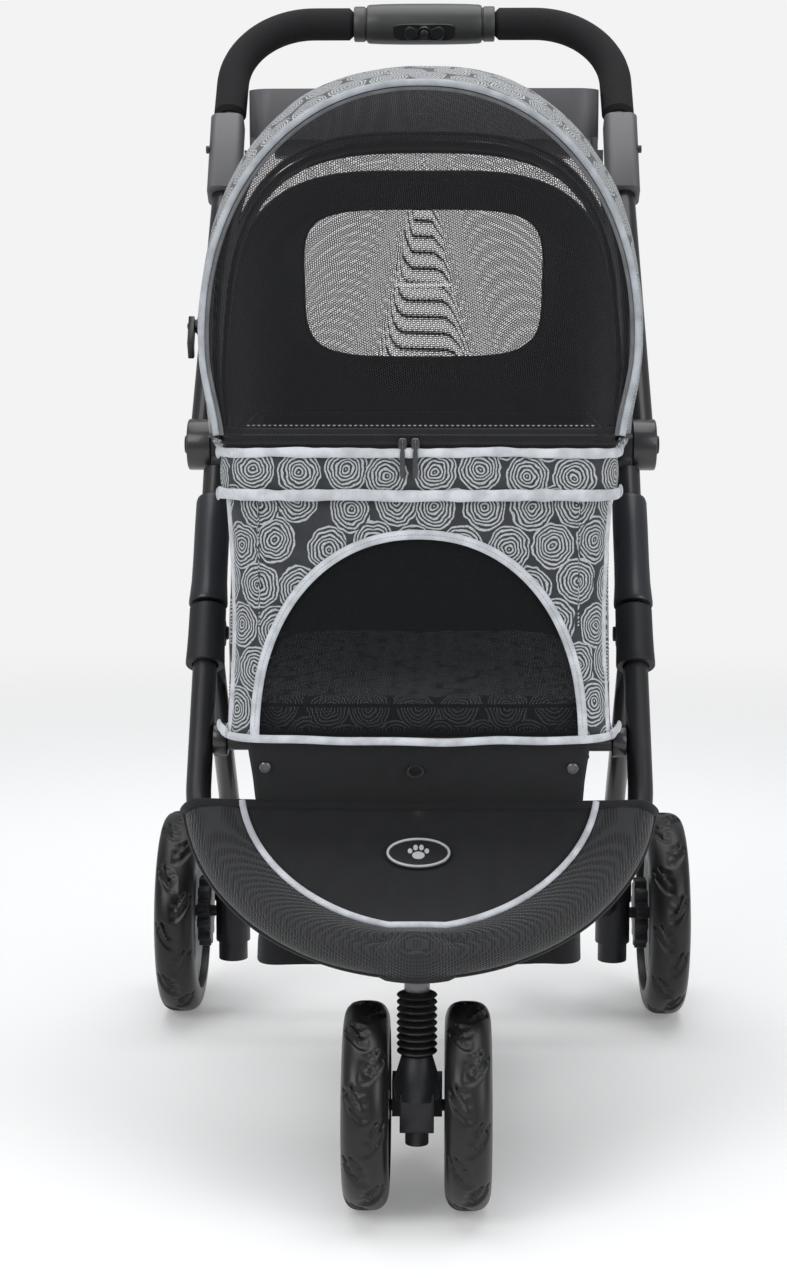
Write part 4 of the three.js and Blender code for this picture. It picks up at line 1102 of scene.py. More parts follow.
def add_canopy():
    front = Panel(front_roof, SHARE_LOW, SHARE_HIGH)
    mid, rear_bow = BOWS["mid"], BOWS["rear"]
    rear = Panel(between(mid, rear_bow, mid["angle"] + 0.4, rear_bow["angle"] - 0.4), SHARE_LOW, SHARE_HIGH)
    back = Panel(between(rear_bow, HEM, rear_bow["angle"] + 0.4, HEM_ANGLE), SHARE_LOW, SHARE_HIGH)
    step = 0.16

    def back_window(turn):
        x, z = (0.0, 0.0) if turn is None else superellipse(turn, 0.1275, 0.078, 4.4)
        return back.locate(-x, 0.800 - z)

    form = Form()
    front.fill(form, 110, 16)
    roof = form.build("roof_front", [PRINT, INNER], None, ["canopy_skin_front"])
    declare(roof, front)
    crumple(roof, 0.07, 0.0016, 3)
    thicken(roof, 0.0011, 1)
    bend(roof, "bow_mid", "bow_front", mid, False, 0.004, 0.12)

    form = Form()
    rear.framed(form, roof_window, 0, 1, 84, 14, 12)
    roof = form.build("roof_rear", [PRINT, INNER], None, ["canopy_skin_rear"])
    declare(roof, rear)
    crumple(roof, 0.07, 0.0014, 4)
    thicken(roof, 0.0011, 1)
    bend(roof, "bow_rear", "bow_mid", mid, True, REAR_GAP)

    form = Form()
    back.framed(form, vent, 0, FLAP_AT, 84, 4, 6)
    strip = form.build("back_top_strip", [PRINT, BLACK], None)
    declare(strip, back, FLAP_AT)
    thicken(strip, 0.0011, 1)
    bend(strip, "chassis", "bow_rear", rear_bow, True, step)

    form = Form()
    back.framed(form, back_window, FLAP_AT, 1, 84, 24, 14)
    lower = form.build("back_panel", [PRINT, BLACK], None, ["canopy_skin_back"])
    declare(lower, back, 1 - FLAP_AT)
    crumple(lower, 0.08, 0.0016, 5)
    thicken(lower, 0.0011, 1)
    bend(lower, "chassis", "bow_rear", rear_bow, True, step)

    windows = [
        ("roof_window", rear, roof_window, ("bow_rear", "bow_mid", mid, True, REAR_GAP)),
        ("back_vent", back, vent, ("chassis", "bow_rear", rear_bow, True, step)),
        ("back_window", back, back_window, ("chassis", "bow_rear", rear_bow, True, step)),
    ]
    for name, panel, opening, fold in windows:
        form = Form()
        panel.patch(form, opening, 96, 10, grow=1.02)
        net = form.build(name + "_net", [NET], None)
        net.data.transform(Matrix.Translation((0, 0, -0.0006)))
        bend(net, *fold)
        binding = Form()
        binding.tube(panel.outline(opening, 120, 1.0), 0.0022, sides=10, capped=False)
        stitches(binding, panel.outline(opening, 120, 1.09), mark=1)
        edge = binding.build(name + "_binding", [BLACK, THREAD], None)
        bend(edge, *fold)

    seams = Form()
    for s in (0, 1):
        seams.tube([front.point(s, i / 24) for i in range(25)], 0.0021, sides=8)
    edge = seams.build("roof_side_hems", [BLACK], None)
    bend(edge, "bow_mid", "bow_front", mid, False, 0.004, 0.12)
    seams = Form()
    seams.tube([rear.point(i / 120, 0.004) for i in range(121)], 0.0016, sides=8)
    edge = seams.build("roof_seam", [BLACK], None)
    bend(edge, "bow_rear", "bow_mid", mid, True, REAR_GAP)
    seams = Form()
    seams.tube([back.point(i / 120, 0.0) for i in range(121)], 0.0018, sides=8)
    seams.tube([back.point(i / 120, FLAP_AT) for i in range(121)], 0.0018, sides=8)
    seams.tube([back.point(i / 120, 1.0) for i in range(121)], 0.0022, sides=8)
    edge = seams.build("back_seams", [BLACK], None)
    bend(edge, "chassis", "bow_rear", rear_bow, True, step)


def add_front_net():
    """The net over the front opening, its piping, and a row of stitches along its foot."""
    columns, rows = 72, 26
    low = Vector((0.166, FACE_FOOT.y - 0.002, FACE_FOOT.z))
    grid = []
    for j in range(rows + 1):
        row = []
        for i in range(columns + 1):
            share = 0.012 + 0.976 * i / columns
            edge = face_point(share, SKIN_CLEAR + 0.003)
            foot = Vector((lerp(low.x, -low.x, i / columns), low.y, low.z))
            point = foot.lerp(edge, j / rows)
            slack = 0.004 * math.sin(math.pi * j / rows) * math.sin(math.pi * i / columns)
            row.append(point + Vector((0, slack - 0.003, 0)))
        grid.append(row)
    cloth = [[(point.x, point.z) for point in row] for row in grid]
    form = Form()
    form.grid(grid, cloth=cloth)
    net = form.build("front_net_sheet", [NET], "bow_front", ["front_net"])

    facing = Vector((0, -1, 0.1))
    form = Form()
    form.tube(face_path(SKIN_CLEAR + 0.004, 0.0035), 0.0030, sides=16, flat=0.0024, normal=facing)
    # a thinner strip in the grey inside fabric along the piping's inner side: painted shade on the piping
    form.tube(face_path(SKIN_CLEAR - 0.0015, 0.0048), 0.0017, sides=10, flat=0.0012, normal=facing, mark=1)
    form.build("opening_piping", [EDGE, INNER], "bow_front")
    form = Form()
    foot = [Vector((lerp(0.150, -0.150, i / 60), FACE_FOOT.y - 0.0062, FACE_FOOT.z + 0.0125))
            for i in range(61)]
    stitches(form, foot, pitch=0.0046, length=0.0022, radius=0.0005)
    form.build("net_foot_stitches", [THREAD], "bow_front")


# ---- cabin ----
BAND_LOW = 0.6105  # the second row of piping
PANEL_TOP = CABIN_HIGH.z - 0.003
PANEL_FOOT = CABIN_LOW.z + 0.006
FRONT_REACH = 0.175  # half the front panel, measured round the corners
WALL_HALF = CABIN_HALF - CABIN_CORNER  # the straight part of the front wall, from the middle
ARC = CABIN_CORNER * math.pi / 2
SIDE_RUN = CABIN_HIGH.y - CABIN_LOW.y - 2 * CABIN_CORNER
WALL_LOOP = 2 * (2 * WALL_HALF + SIDE_RUN + 2 * ARC)


def wall(run, z, out=0.0):
    """A point of the cabin's wall; run goes round it both ways from the middle of the front."""
    side = 1 if run >= 0 else -1
    d = abs(run)
    back = CABIN_HIGH.y - CABIN_CORNER
    front = CABIN_LOW.y + CABIN_CORNER
    if d < WALL_HALF:
        x, y = d, CABIN_LOW.y - out
    elif d < WALL_HALF + ARC:
        turn = (d - WALL_HALF) / CABIN_CORNER
        x = WALL_HALF + (CABIN_CORNER + out) * math.sin(turn)
        y = front - (CABIN_CORNER + out) * math.cos(turn)
    elif d < WALL_HALF + ARC + SIDE_RUN:
        x, y = CABIN_HALF + out, front + d - WALL_HALF - ARC
    elif d < WALL_HALF + 2 * ARC + SIDE_RUN:
        turn = (d - WALL_HALF - ARC - SIDE_RUN) / CABIN_CORNER
        x = WALL_HALF + (CABIN_CORNER + out) * math.cos(turn)
        y = back + (CABIN_CORNER + out) * math.sin(turn)
    else:
        x, y = max(WALL_LOOP / 2 - d, 0), CABIN_HIGH.y + out
    return Vector((side * x, y, z))


def slack_wall(run, t):
    """The cloth wall between its foot and its top: it pulls in a little at half height."""
    z = lerp(PANEL_FOOT, BAND_LOW + 0.004, t)
    sag = 0.0055 * math.sin(math.pi * t) * smoothstep(abs(run) / 0.16)
    return wall(run, z, -sag)


ARCH_HALF = 0.1435
ARCH_TOP = 0.5755


def arch(turn, grow=0.0):
    """The front net's outline from the right foot over the crown to the left one: run and height."""
    a, b = superellipse(turn, ARCH_HALF + grow, ARCH_TOP - PANEL_FOOT + grow, 2.15)
    return a, PANEL_FOOT + max(b, 0)


def on_front(run, z):
    return slack_wall(run, (z - PANEL_FOOT) / (BAND_LOW + 0.004 - PANEL_FOOT))


def add_front_panel():
    rings, count = 16, 100
    places = []
    top = BAND_LOW + 0.004
    for j in range(rings + 1):
        row = []
        for i in range(count + 1):
            turn = math.pi * i / count
            run, z = arch(turn)
            c, s = math.cos(turn), max(math.sin(turn), 1e-6)
            reach = min(FRONT_REACH / max(abs(c), 1e-6), (top - PANEL_FOOT) * 1.0 / s)
            corner = math.atan2(top - PANEL_FOOT, FRONT_REACH)
            near = math.exp(-((min(abs(turn - corner), abs(math.pi - turn - corner)) / 0.02) ** 2))
            end = (reach * c, PANEL_FOOT + reach * s)
            if near > 0.5:
                end = (math.copysign(FRONT_REACH, c), top)
            row.append((lerp(run, end[0], j / rings), lerp(z, end[1], j / rings)))
        places.append(row)
    form = Form()
    points = [[on_front(run, z) for run, z in row] for row in places]
    form.grid(points, cloth=places)
    panel = form.build("front_panel", [PRINT, BLACK], None, ["cabin_shell"])
    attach(panel, "chassis")

    def off_edge(place):
        flat = Vector((place.x, place.z))
        return smoothstep((abs(flat.x) + flat.y - PANEL_FOOT) / 0.2) * 0.9

    crumple(panel, 0.05, 0.0013, 6, off_edge)
    thicken(panel, 0.0012, 1)

    form = Form()
    rows = []
    for j in range(15):
        row = []
        for i in range(61):
            run, z = arch(math.pi * i / 60, 0.002)
            share = j / 14
            row.append((run * share, lerp(PANEL_FOOT, z, share)))
        rows.append(row)
    points = [[on_front(run, z) + Vector((0, 0.0016 + 0.004 * (1 - j / 14), 0)) for run, z in row]
              for j, row in enumerate(rows)]
    form.grid(points, cloth=rows)
    net = form.build("arch_net", [DENSE_NET], "chassis")

    form = Form()
    path = [on_front(*arch(math.pi * i / 120)) + Vector((0, -0.0012, 0)) for i in range(121)]
    path = [path[0] - Vector((0, 0, 0.004)), *path, path[-1] - Vector((0, 0, 0.004))]
    form.tube(path, 0.0042, sides=16, flat=0.0017, normal=Vector((0, -1, 0)))
    stitches(form, [point + Vector((0, -0.0017, 0)) for point in path[3:-3]], 0.003, 0.0019, 0.00035, mark=1)
    form.build("arch_piping", [WELT, EDGE], "chassis")
    form = Form()
    for side in (-1, 1):
        low = arch(math.acos(0.93))[1] + 0.03
        seam = [on_front(side * 0.139, lerp(low, BAND_LOW, i / 12)) for i in range(13)]
        form.tube(seam, 0.0008, sides=6)
        edge = [on_front(side * (FRONT_REACH - 0.002), lerp(PANEL_FOOT, BAND_LOW, i / 20)) for i in range(21)]
        form.tube(edge, 0.0030, sides=10, flat=0.0014, normal=Vector((side * 0.7, -0.7, 0)), mark=1)
    form.build("front_seams", [PRINT, WELT], "chassis")


def rim_of(run):
    """The top edge of the cabin's side and back cloth, inside the canopy's hem: how far out and how high."""
    spot = wall(run, 0)
    behind = spot.y - CANOPY.y
    back_out, back_z = 0.0048, CANOPY.z + behind * math.tan(math.radians(90 - HEM_ANGLE)) + 0.004
    if behind > 0.02:
        return back_out, back_z
    foot = face_point(SHARE_LOW, SKIN_CLEAR + 0.004)
    share = min(max((spot.y - foot.y) / (CANOPY.y - foot.y), 0), 1)
    hem = front_roof(SHARE_LOW, share)
    front_out, front_z = hem.x - abs(spot.x) - 0.0008, hem.z + 0.002
    turned = smoothstep(behind / 0.04 + 0.5)
    return lerp(front_out, back_out, turned), lerp(front_z, back_z, turned)


def add_walls():
    """One length of printed cloth round the sides and back, and the cabin's black floor cloth."""
    rows = []
    columns, tall, flared = 170, 12, 5
    start, end = FRONT_REACH, WALL_LOOP - FRONT_REACH
    cloth = []
    for j in range(tall + flared + 1):
        row = []
        marks = []
        for i in range(columns + 1):
            run = lerp(start, end, i / columns)
            spot = run if run < WALL_LOOP / 2 else run - WALL_LOOP
            out, top = rim_of(spot)
            flare_from = lerp(PANEL_TOP, PANEL_TOP - 0.026,
                              smoothstep((abs(spot) - FRONT_REACH - 0.01) / 0.06))
            if j <= tall:
                z = lerp(PANEL_FOOT, flare_from, j / tall)
                row.append(wall(spot, z, -0.004 * math.sin(math.pi * j / tall)))
            else:
                t = (j - tall) / flared
                z = lerp(flare_from, top, t)
                row.append(wall(spot, z, out * smoothstep(t)))
            marks.append((run, z))
        rows.append(row)
        cloth.append(marks)
    form = Form()
    form.grid(rows, cloth=cloth)
    walls = form.build("side_walls", [PRINT, BLACK], "chassis")
    crumple(walls, 0.09, 0.0024, 7,
            lambda p: math.sin(math.pi * (p.z - PANEL_FOOT) / (PANEL_TOP - PANEL_FOOT)))
    thicken(walls, 0.0012, 1)

    form = Form()
    rows = []
    for j in range(13):
        share = j / 12
        row = []
        for i in range(97):
            spot = lerp(-WALL_LOOP / 2, WALL_LOOP / 2, i / 96)
            edge = wall(spot, CABIN_LOW.z + 0.0045, -0.0008)
            row.append(Vector((edge.x * share, lerp(0.03, edge.y, share),
                               CABIN_LOW.z + lerp(0.0012, 0.0045, share**4))))
        rows.append(row)
    form.grid(rows, cloth=[[(p.x, p.y) for p in row] for row in rows])
    floor = form.build("cabin_floor_cloth", [BLACK], "chassis")


def tape(form, path, wide, thick, normal, seed, drop=0.0, mark=0):
    """A folded tape that waves a little along its seam, with puckered ends."""
    count = len(path)
    waved = []
    for i, point in enumerate(path):
        share = i / (count - 1)
        wave = 0.0016 * noise.noise(Vector((seed, share * 7, 0))) - drop * math.sin(math.pi * share)
        waved.append(point + Vector((0, 0, wave)))

    def girth(share):
        pucker = 0.0012 * noise.noise(Vector((seed, 9, share * 26)))
        return wide + pucker

    form.tube(waved, girth, sides=14, mark=mark, flat=thick, normal=normal)


def outward(run):
    """The wall's outward direction at a run."""
    return (wall(run, 0, 0.01) - wall(run, 0, 0)).normalized()


def add_bands():
    """The printed band under the zip between its two tapes, the zip, and the tape round the cabin's foot."""
    reach = 0.186
    count = 90
    runs = [lerp(reach, -reach, i / count) for i in range(count + 1)]

    def facing(share):
        return outward(lerp(reach, -reach, share))

    form = Form()
    rows = []
    cloth = []
    for j in range(9):
        t = j / 8
        rows.append([wall(run, lerp(BAND_LOW, PANEL_TOP - 0.002, t),
                          0.0026 + 0.0016 * math.sin(math.pi * t)) for run in runs])
        cloth.append([(0.011 - run, lerp(BAND_LOW, PANEL_TOP, t) + 0.008) for run in runs])
    form.grid(rows, cloth=cloth)
    band = form.build("top_band", [PRINT, BLACK], "chassis")
    crumple(band, 0.045, 0.0014, 8)
    thicken(band, 0.0011, 1)

    form = Form()
    tape(form, [wall(run, PANEL_TOP - 0.0006, 0.0050) for run in runs], 0.0042, 0.0017, facing, 1.3)
    tape(form, [wall(run, BAND_LOW, 0.0050) for run in runs], 0.0050, 0.0017, facing, 4.1, drop=0.0012)
    for z, seed in ((PANEL_TOP - 0.0006, 3), (BAND_LOW, 8)):
        for side in (-1, 1):
            fold = [wall(side * lerp(reach - 0.006, reach + 0.002, i / 5), z + 0.0015 * side, 0.0062)
                    for i in range(6)]
            tape(form, fold, 0.0052, 0.0020, outward(side * reach), seed + side)
    form.build("band_tapes", [WELT], "chassis")

    form = Form()
    zip_z = CABIN_HIGH.z + 0.0075
    rows = []
    profile = [(-0.0085, 0.0012), (-0.0045, 0.0026), (-0.0036, 0.0042), (-0.0008, 0.0034), (0.0002, 0.0026),
               (0.0012, 0.0034), (0.0036, 0.0042), (0.0046, 0.0026), (0.0092, 0.0014), (0.0098, -0.0006)]
    for up, out in profile:
        rows.append([wall(run, zip_z + up, out) for run in runs])
    form.grid(rows)
    teeth = spaced([wall(run, zip_z + 0.0002, 0.0030) for run in runs], 0.0030)
    for k, tooth in enumerate(teeth[1:-1]):
        up = Vector((0, 0, 0.0013 if k % 2 else -0.0011))
        form.tube([tooth - up * 0.5, tooth + up * 0.5], 0.0009, sides=6, mark=1)
    form.build("front_zip", [BLACK, PLASTIC], "chassis")

    form = Form()
    loop = [lerp(-WALL_LOOP / 2, WALL_LOOP / 2, i / 320) for i in range(321)]
    path = []
    for run in loop:
        sway = 0.0013 * noise.noise(Vector((run * 22, 4, 1))) - 0.0028 * math.exp(-((run / 0.11) ** 2))
        path.append(wall(run, PANEL_FOOT - 0.0012 + sway, 0.0016))

    def around(share):
        return outward(lerp(-WALL_LOOP / 2, WALL_LOOP / 2, share))

    form.tube(path, 0.0036, sides=14, flat=0.0019, normal=around, capped=False)
    for side in (-1, 1):
        corner = [wall(side * (0.172 + 0.003 * i), PANEL_FOOT + 0.0004 + 0.0012 * i, 0.0040 + 0.0007 * i)
                  for i in range(6)]
        tape(form, corner, 0.0048, 0.0021, outward(side * 0.18), 5 + side)
    form.build("foot_piping", [WELT], "chassis")


def add_cushion():
    """A boxed cushion, blown up by cloth simulation between its seams, then given its piped edges."""
    low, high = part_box("cushion")
    inset = 0.006
    half_x = high.x - inset
    middle = (low.y + high.y) / 2
    half_y = (high.y - low.y) / 2 - inset
    outline = ellipse(half_x, half_y, 96, power=9)
    form = Form()
    form.slab(outline, lambda a, b, c: Vector((a, middle + b, low.z + 0.004 + c)), high.z - low.z - 0.010,
              edge=0.004)
    pad = form.build("cushion_pad", [PRINT], None, ["cushion"])
    remesh = pad.modifiers.new("remesh", "REMESH")
    remesh.mode = "VOXEL"
    remesh.voxel_size = 0.0062
    settle(pad)
    start = [vertex.co.copy() for vertex in pad.data.vertices]
    cloth = pad.modifiers.new("cloth", "CLOTH")
    cloth.settings.use_pressure = True
    cloth.settings.uniform_pressure_force = 4
    cloth.settings.effector_weights.gravity = 0
    scene = bpy.context.scene
    for step in range(1, 16):
        scene.frame_set(step)
    settle(pad)
    scene.frame_set(1)
    for vertex, rest in zip(pad.data.vertices, start):
        move = vertex.co - rest
        if move.length > 0.006:
            vertex.co = rest + move.normalized() * 0.006
        vertex.co.z = max(vertex.co.z, low.z)
        tuft = math.cos(2 * math.pi * vertex.co.x / 0.11)
        tuft *= math.cos(2 * math.pi * (vertex.co.y - middle) / 0.13)
        if vertex.co.z > low.z + 0.02:
            vertex.co.z += 0.0014 * tuft
    smooth = pad.modifiers.new("smooth", "SUBSURF")
    smooth.levels = 1
    smooth.render_levels = 1
    settle(pad)
    mesh = pad.data
    layer = mesh.uv_layers.get("cloth") or mesh.uv_layers.new(name="cloth")
    for face in mesh.polygons:
        up = abs(face.normal.z) > 0.6
        ahead = abs(face.normal.y) > 0.6
        for loop in face.loop_indices:
            spot = mesh.vertices[mesh.loops[loop].vertex_index].co
            flat = (spot.x, spot.y) if up else (spot.x, spot.z) if ahead else (spot.y, spot.z)
            layer.data[loop].uv = flat
    mesh.polygons.foreach_set("use_smooth", [True] * len(mesh.polygons))
    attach(pad, "chassis")
    form = Form()
    for z in (low.z + 0.0045, high.z - 0.0055):
        rim = [Vector((a, middle + b, z)) for a, b in ellipse(half_x + 0.0035, half_y + 0.0035, 120, power=9)]
        form.tube(rim + rim[:1], 0.0018, sides=8, capped=False)
    form.build("cushion_piping", [BLACK], "chassis")


# ---- drop, apron and basket ----
def add_drop():
    """The black flap under the cabin's front edge, with a snap at each side and a ring in the middle."""
    top = Vector((0, CABIN_LOW.y + 0.004, CABIN_LOW.z + 0.004))
    foot = Vector((0, BASKET_LOW.y - 0.006, 0.300))

    def cloth_at(across, t):
        half = lerp(0.1505, 0.1475, smoothstep(t * 2))
        belly = 0.010 * math.sin(math.pi * t)
        return Vector((across * half, lerp(top.y, foot.y, t) - belly, lerp(top.z, foot.z, t)))

    columns, rows = 60, 20
    places = [[(2 * i / columns - 1, j / rows) for i in range(columns + 1)] for j in range(rows + 1)]
    form = Form()
    form.grid([[cloth_at(a, t) for a, t in row] for row in places],
              cloth=[[(a * 0.15, t * 0.13) for a, t in row] for row in places])
    drop = form.build("front_flap", [BLACK], "chassis")
    crumple(drop, 0.06, 0.0016, 9)
    thicken(drop, 0.0010, inside=Vector((0, 0, 0.35)))
    form = Form()
    for side in (-1, 1):
        centre = cloth_at(side * 0.915, 0.30) + Vector((0, -0.0022, 0))
        face = [(0, 0.0), (0, 0.0052), (0.0010, 0.0052), (0.0018, 0.0044), (0.0019, 0.0033),
                (0.0011, 0.0028), (0.0011, 0)]
        form.turned(face, centre, Vector((0, -1, -0.3)), sides=28)
    form.build("flap_snaps", [DARK_STEEL], "chassis")
    form = Form()
    middle = cloth_at(-0.02, 0.34) + Vector((0, -0.0030, 0))
    ring = []
    for i in range(41):
        turn = 2 * math.pi * i / 40
        ring.append(middle + Vector((0.0068 * math.cos(turn), -0.0005, 0.0050 * math.sin(turn))))
    form.tube(ring, 0.0013, sides=12, capped=False)
    loop = [middle + Vector((0, -0.0022, 0.0125)), middle + Vector((0, -0.0030, 0.0060)),
            middle + Vector((0, -0.0010, 0.0040))]
    form.tube(loop, 0.0050, sides=10, flat=0.0007, normal=Vector((0, -1, 0)), mark=1)
    form.build("flap_ring", [PLASTIC, BLACK], "chassis")


APRON_CLEAR = 0.0137  # from a front tube's centre to the apron's back
TUBE_BEND = tube_bend()


def apron_line(v):
    """The front tube's centre under the apron, v from hem to tip, and the directions along, out and up."""
    share = lerp(APRON_START, APRON_END, v)
    along = (curve_at(TUBE_BEND, share + 0.01) - curve_at(TUBE_BEND, share - 0.01)).normalized()
    face = Vector((0, along.z, -along.y)).normalized()
    return curve_at(TUBE_BEND, share), along, face, face.cross(along)


def on_apron(x, v, lift=0.0):
    """A point between the two front tubes, lift above the apron's back."""
    centre, _, face, _ = apron_line(v)
    across = max(-1, min(1, x / centre.x))
    middle = 1 - across**2
    rise = APRON_CLEAR + middle * (0.011 * v**3 - 0.005 * (1 - v))
    return Vector((centre.x * across, centre.y, centre.z)) + face * (rise + lift)


def wrapped(side, v, turn, lift=0.0):
    """A point of the cloth that wraps round a front tube: turn runs from its face, out and round it."""
    centre, _, face, out = apron_line(v)
    point = centre + (face * math.cos(turn) + out * math.sin(turn)) * (APRON_CLEAR + lift)
    return Vector((side * point.x, point.y, point.z))


def over_nose(across, turn, lift=0.0):
    """The cloth in front of the nose: across from -1 to 1 between the tubes' ends."""
    grow = 1 - across**2
    centre, _, _, _ = apron_line(1)
    top = turn < math.pi / 2
    tall = APRON_CLEAR + lift + (0.010 * grow if top else 0)
    bulge = math.sin(turn) if top else 1 + 0.12 * math.cos(turn) * (1 - grow)
    ahead = (APRON_CLEAR + lift + 0.0092 * grow) * bulge
    return Vector((centre.x * across, centre.y - ahead, centre.z + tall * math.cos(turn)))


def apron_ring(share):
    """A curve round the apron, a share of the way from the middle of its hem to the tubes: (x, v) pairs."""
    steps = 48
    top = apron_line(0)[0]
    sides = []
    for i in range(steps + 1):
        centre = apron_line(i / steps)[0]
        sides.append((centre.x, (centre - top).length))
    last, deep = sides[-1]
    flat = [(last * (1 - 2 * i / 14), deep) for i in range(1, 14)]
    result = []
    for x, depth in sides + flat + [(-x, depth) for x, depth in reversed(sides)]:
        low, high = 0.0, 1.0
        for _ in range(16):
            v = (low + high) / 2
            low, high = (v, high) if (apron_line(v)[0] - top).length < depth * share else (low, v)
        result.append((x * share, v))
    return result


def apron_border(turn_share, lift=0.0):
    """The same curve as the outermost ring, carried on round the tubes and the nose."""
    points = []
    steps = 48
    for side in (1, -1):
        edge = []
        for i in range(steps + 1):
            v = i / steps
            edge.append(wrapped(side, v, math.radians(lerp(90, 160, v)) * turn_share, lift))
        points.append(edge)
    nose = [over_nose(1 - 2 * i / 14, math.radians(160) * turn_share, lift) for i in range(1, 14)]
    return points[0] + nose + points[1][::-1]


INNER_SHARE = 0.80


def add_apron():
    """A quilted mesh border round a smooth black panel, wrapped over the front tubes and the nose."""
    form = Form()
    inner = [apron_ring(0.03 + (INNER_SHARE - 0.03) * j / 14) for j in range(15)]
    points = [[on_apron(x, v) for x, v in ring] for ring in inner]
    form.grid(points, cloth=[[(p.x, p.z) for p in row] for row in points])
    rings = [apron_ring(lerp(INNER_SHARE, 1, j / 8)) for j in range(9)]
    points = [[on_apron(x, v, 0.0016 * math.sin(math.pi * j / 9)) for x, v in ring] for j,
              ring in enumerate(rings)]
    points += [apron_border(j / 9) for j in range(1, 10)]
    form.grid(points, 1, cloth=[[(p.x, p.z - p.y) for p in row] for row in points])
    apron = form.build("apron_cloth", [BLACK, KNIT], "chassis", ["apron"])
    crumple(apron, 0.07, 0.0009, 11)
    thicken(apron, 0.0018, inside=Vector((0, 0.1, 0.2)))

    form = Form()
    ring = [on_apron(x, v, 0.0022) for x, v in apron_ring(INNER_SHARE)]
    form.tube(ring, 0.0030, sides=12, flat=0.0018, normal=AHEAD)
    form.build("apron_piping", [WELT], "chassis")
    form = Form()
    form.tube(apron_border(0.99, 0.0004), 0.0020, sides=10)
    hem = [wrapped(-1, 0.012, math.radians(88 * (1 - i / 8)), 0.0010) for i in range(8)]
    hem += [on_apron(lerp(-TUBE_X, TUBE_X, i / 60), 0.012, 0.0010) for i in range(61)]
    hem += [wrapped(1, 0.012, math.radians(88 * (i + 1) / 8), 0.0010) for i in range(8)]
    form.tube(hem, 0.0046, sides=12, flat=0.0014, normal=AHEAD)
    stitches(form, [point + AHEAD * 0.0014 - UP * 0.003 for point in hem[8:-8]], mark=1)
    form.build("apron_hem", [BLACK, BLACK], "chassis")


def add_badge():
    """A plain oval badge: a pale rim, a dark field and a simple raised paw."""
    v = 0.25
    centre = on_apron(0, v, 0.0020)
    up = (on_apron(0, v - 0.08) - on_apron(0, v + 0.08)).normalized()
    out = Vector((1, 0, 0)).cross(up)

    def place(a, b, c):
        return centre + Vector((a, 0, 0)) + up * b + out * c

    def raised(a, b, c):
        return place(a, b, c + 0.0021)

    form = Form()
    form.slab(ellipse(0.0290, 0.0180, 72), place, 0.0022, edge=0.0006)
    rim = [place(a, b, 0.0024) for a, b in ellipse(0.0272, 0.0162, 96)]
    form.tube(rim + rim[:1], 0.0012, sides=10, mark=1, capped=False)
    toes = [(side * x, y, 0.0021, wide) for side in (-1, 1) for x, y,
            wide in ((0.0074, 0.0018, 0.0029), (0.0026, 0.0058, 0.0033))]
    for x, y, wide, tall in [(0, -0.0034, 0.0056, 0.0044), *toes]:
        form.slab([(x + a, y + b) for a, b in ellipse(wide, tall, 28)], raised, 0.0009, edge=0.0003, mark=1)
    form.build("badge", [ENAMEL, PALE], "chassis")


def add_basket():
    """A sagging bag under the cabin, with a bound rim and webbing straps at its corners."""
    half, front, back = BASKET_HIGH.x, BASKET_LOW.y, BASKET_HIGH.y
    middle, long = (front + back) / 2, (back - front) / 2
    count = 128
    outline = ellipse(1, 1, count + 1, power=14)

    def ring(shrink, z, dip):
        row = []
        for a, b in outline:
            pull = dip * (1 - abs(a * b) ** 0.7)
            row.append(Vector((a * (half * shrink), middle + b * (long * shrink), z - pull)))
        return row

    levels = []
    for j in range(13):
        t = j / 12
        tuck = 1 - 0.02 * math.sin(math.pi * t) ** 0.8
        levels.append(ring(tuck, lerp(BASKET_HIGH.z, BASKET_LOW.z + 0.005, t), 0.004 * (1 - t)))
    for j in range(1, 13):
        t = j / 12
        levels.append(ring((1 - t) + 0.0001, BASKET_LOW.z + lerp(0.005, 0.0022, smoothstep(t * 2.2)), 0))
    form = Form()
    form.grid(levels, wrap=True)
    bag = form.build("basket_bag", [BLACK], "chassis", ["basket"])
    crumple(bag, 0.08, 0.0035, 12, lambda p: smoothstep((BASKET_HIGH.z - p.z) / 0.03))
    thicken(bag, 0.0014, inside=Vector((0, 0, 0.26)))
    form = Form()
    rim = ring(1.0, BASKET_HIGH.z - 0.003, 0.004)
    form.tube(rim + rim[:1], 0.0060, sides=12, flat=0.0019, normal=Vector((0, 0, 1)), capped=False)
    for side in (-1, 1):
        for y, lean in ((front + 0.03, 0.0), (back - 0.03, 0.02)):
            low = Vector((side * (half - 0.001), y, BASKET_HIGH.z - 0.02))
            high = Vector((side * (half - 0.004), y + lean, CABIN_LOW.z + 0.002))
            form.tube([low, low.lerp(high, 0.5), high], 0.0100, sides=10, flat=0.0009,
                      normal=Vector((side, 0, 0)), mark=1)
    form.build("basket_rim", [BLACK, BLACK], "chassis")


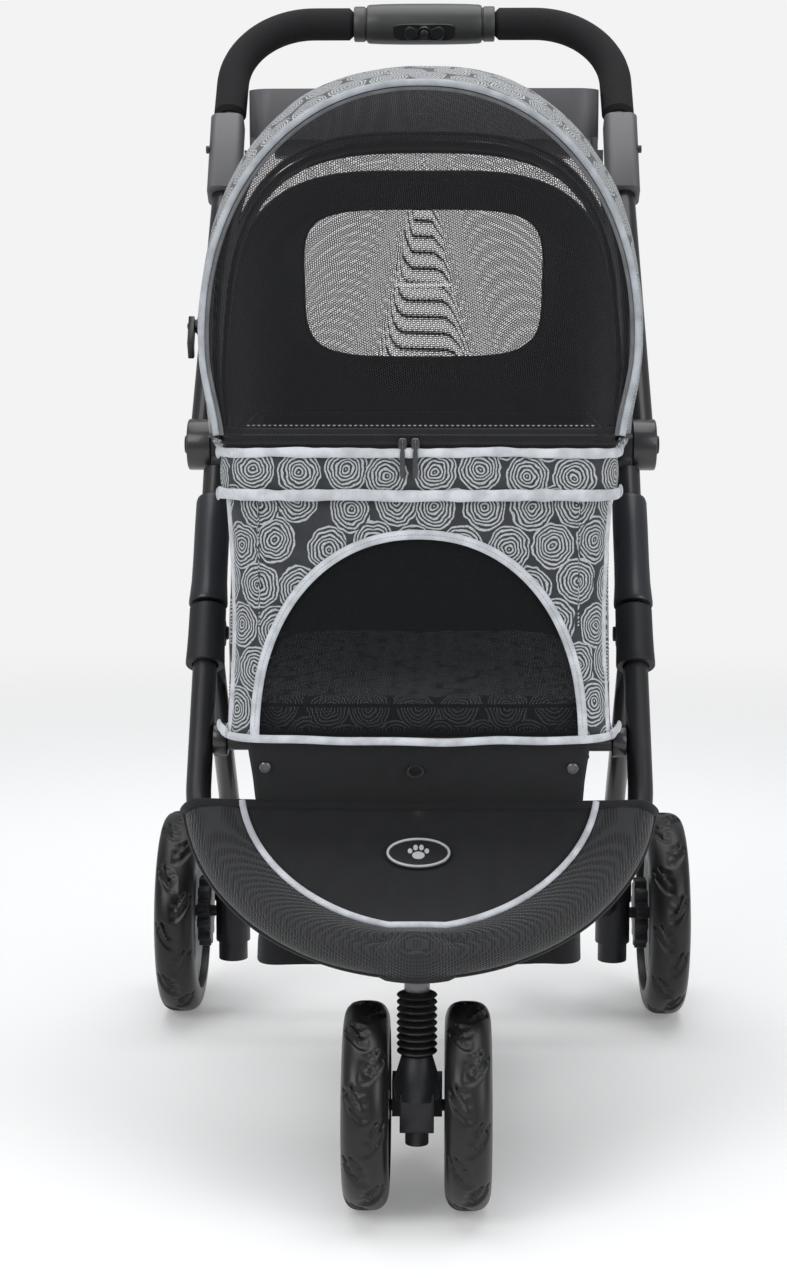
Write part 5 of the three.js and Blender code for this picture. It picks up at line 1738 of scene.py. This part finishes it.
# ---- floor, light and camera ----
def add_stage():
    """A pale floor that fades into an even background, under broad soft lights."""
    form = Form()
    size = 4.0
    form.grid([[Vector((-size, -size, 0)), Vector((size, -size, 0))],
               [Vector((-size, size, 0)), Vector((size, size, 0))]])
    paint = Shader("floor_paint", (0.8, 0.8, 0.8), 0.95, fixed={"Specular IOR Level": 0.0})
    paint.set("Emission Color", (0.9, 0.9, 0.9, 1))
    paint.set("Emission Strength", 0.22)
    away = paint.vector("LENGTH", paint.place(cloth=False))
    paint.set("Alpha", paint.span(away, 3.4, 1.5))
    form.build("studio_floor", [paint.material])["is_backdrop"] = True

    world = bpy.data.worlds.new("studio")
    world.use_nodes = True
    tree = world.node_tree
    seen = tree.nodes["Background"]
    seen.inputs["Color"].default_value = (0.895, 0.895, 0.9, 1)
    glow = tree.nodes.new("ShaderNodeBackground")
    glow.inputs["Color"].default_value = (0.9, 0.92, 0.95, 1)
    glow.inputs["Strength"].default_value = 0.42
    path = tree.nodes.new("ShaderNodeLightPath")
    choose = tree.nodes.new("ShaderNodeMixShader")
    tree.links.new(path.outputs["Is Camera Ray"], choose.inputs[0])
    tree.links.new(glow.outputs[0], choose.inputs[1])
    tree.links.new(seen.outputs[0], choose.inputs[2])
    tree.links.new(choose.outputs[0], tree.nodes["World Output"].inputs[0])
    bpy.context.scene.world = world

    lamps = [
        ("key", (-2.0, -2.6, 2.4), (0, 0, 0.5), 1.8, 46),
        ("fill", (2.4, -2.2, 1.7), (0, 0, 0.5), 1.8, 30),
        ("top", (0.0, 0.2, 3.2), (0, 0, 0.0), 3.0, 70),
    ]
    for name, place, target, size, power in lamps:
        light = bpy.data.lights.new(name, "AREA")
        light.size = size
        light.energy = power
        lamp = bpy.data.objects.new(name, light)
        lamp.location = place
        lamp.rotation_euler = (Vector(target) - Vector(place)).to_track_quat("-Z", "Y").to_euler()
        bpy.context.scene.collection.objects.link(lamp)


def add_camera():
    camera = bpy.data.cameras.new("camera")
    camera.sensor_width = 36
    camera.lens = 65.35
    rig = bpy.data.objects.new("camera", camera)
    rig.location = (0.01826, -2.23542, 0.74590)
    rig.rotation_euler = (math.radians(90 - 7.449), 0, math.radians(1.1486))
    bpy.context.scene.collection.objects.link(rig)
    bpy.context.scene.camera = rig


add_camera()
dress_frame()
add_front_tubes()
add_rear_legs()
add_sleeves()
add_leg_brackets()
add_fold_hinges()
add_handle()
add_pod()
add_trigger()
add_wheels()
add_bellows()
add_zip_sliders()
add_canopy()
add_front_net()
add_front_panel()
add_walls()
add_bands()
add_cushion()
add_drop()
add_apron()
add_badge()
add_basket()
add_stage()
bpy.context.scene.view_settings.view_transform = "Standard"

boxes = {"cad": CAD_BOX, "visual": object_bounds()}
{name: [list(corner) for corner in box] for name, box in boxes.items()}
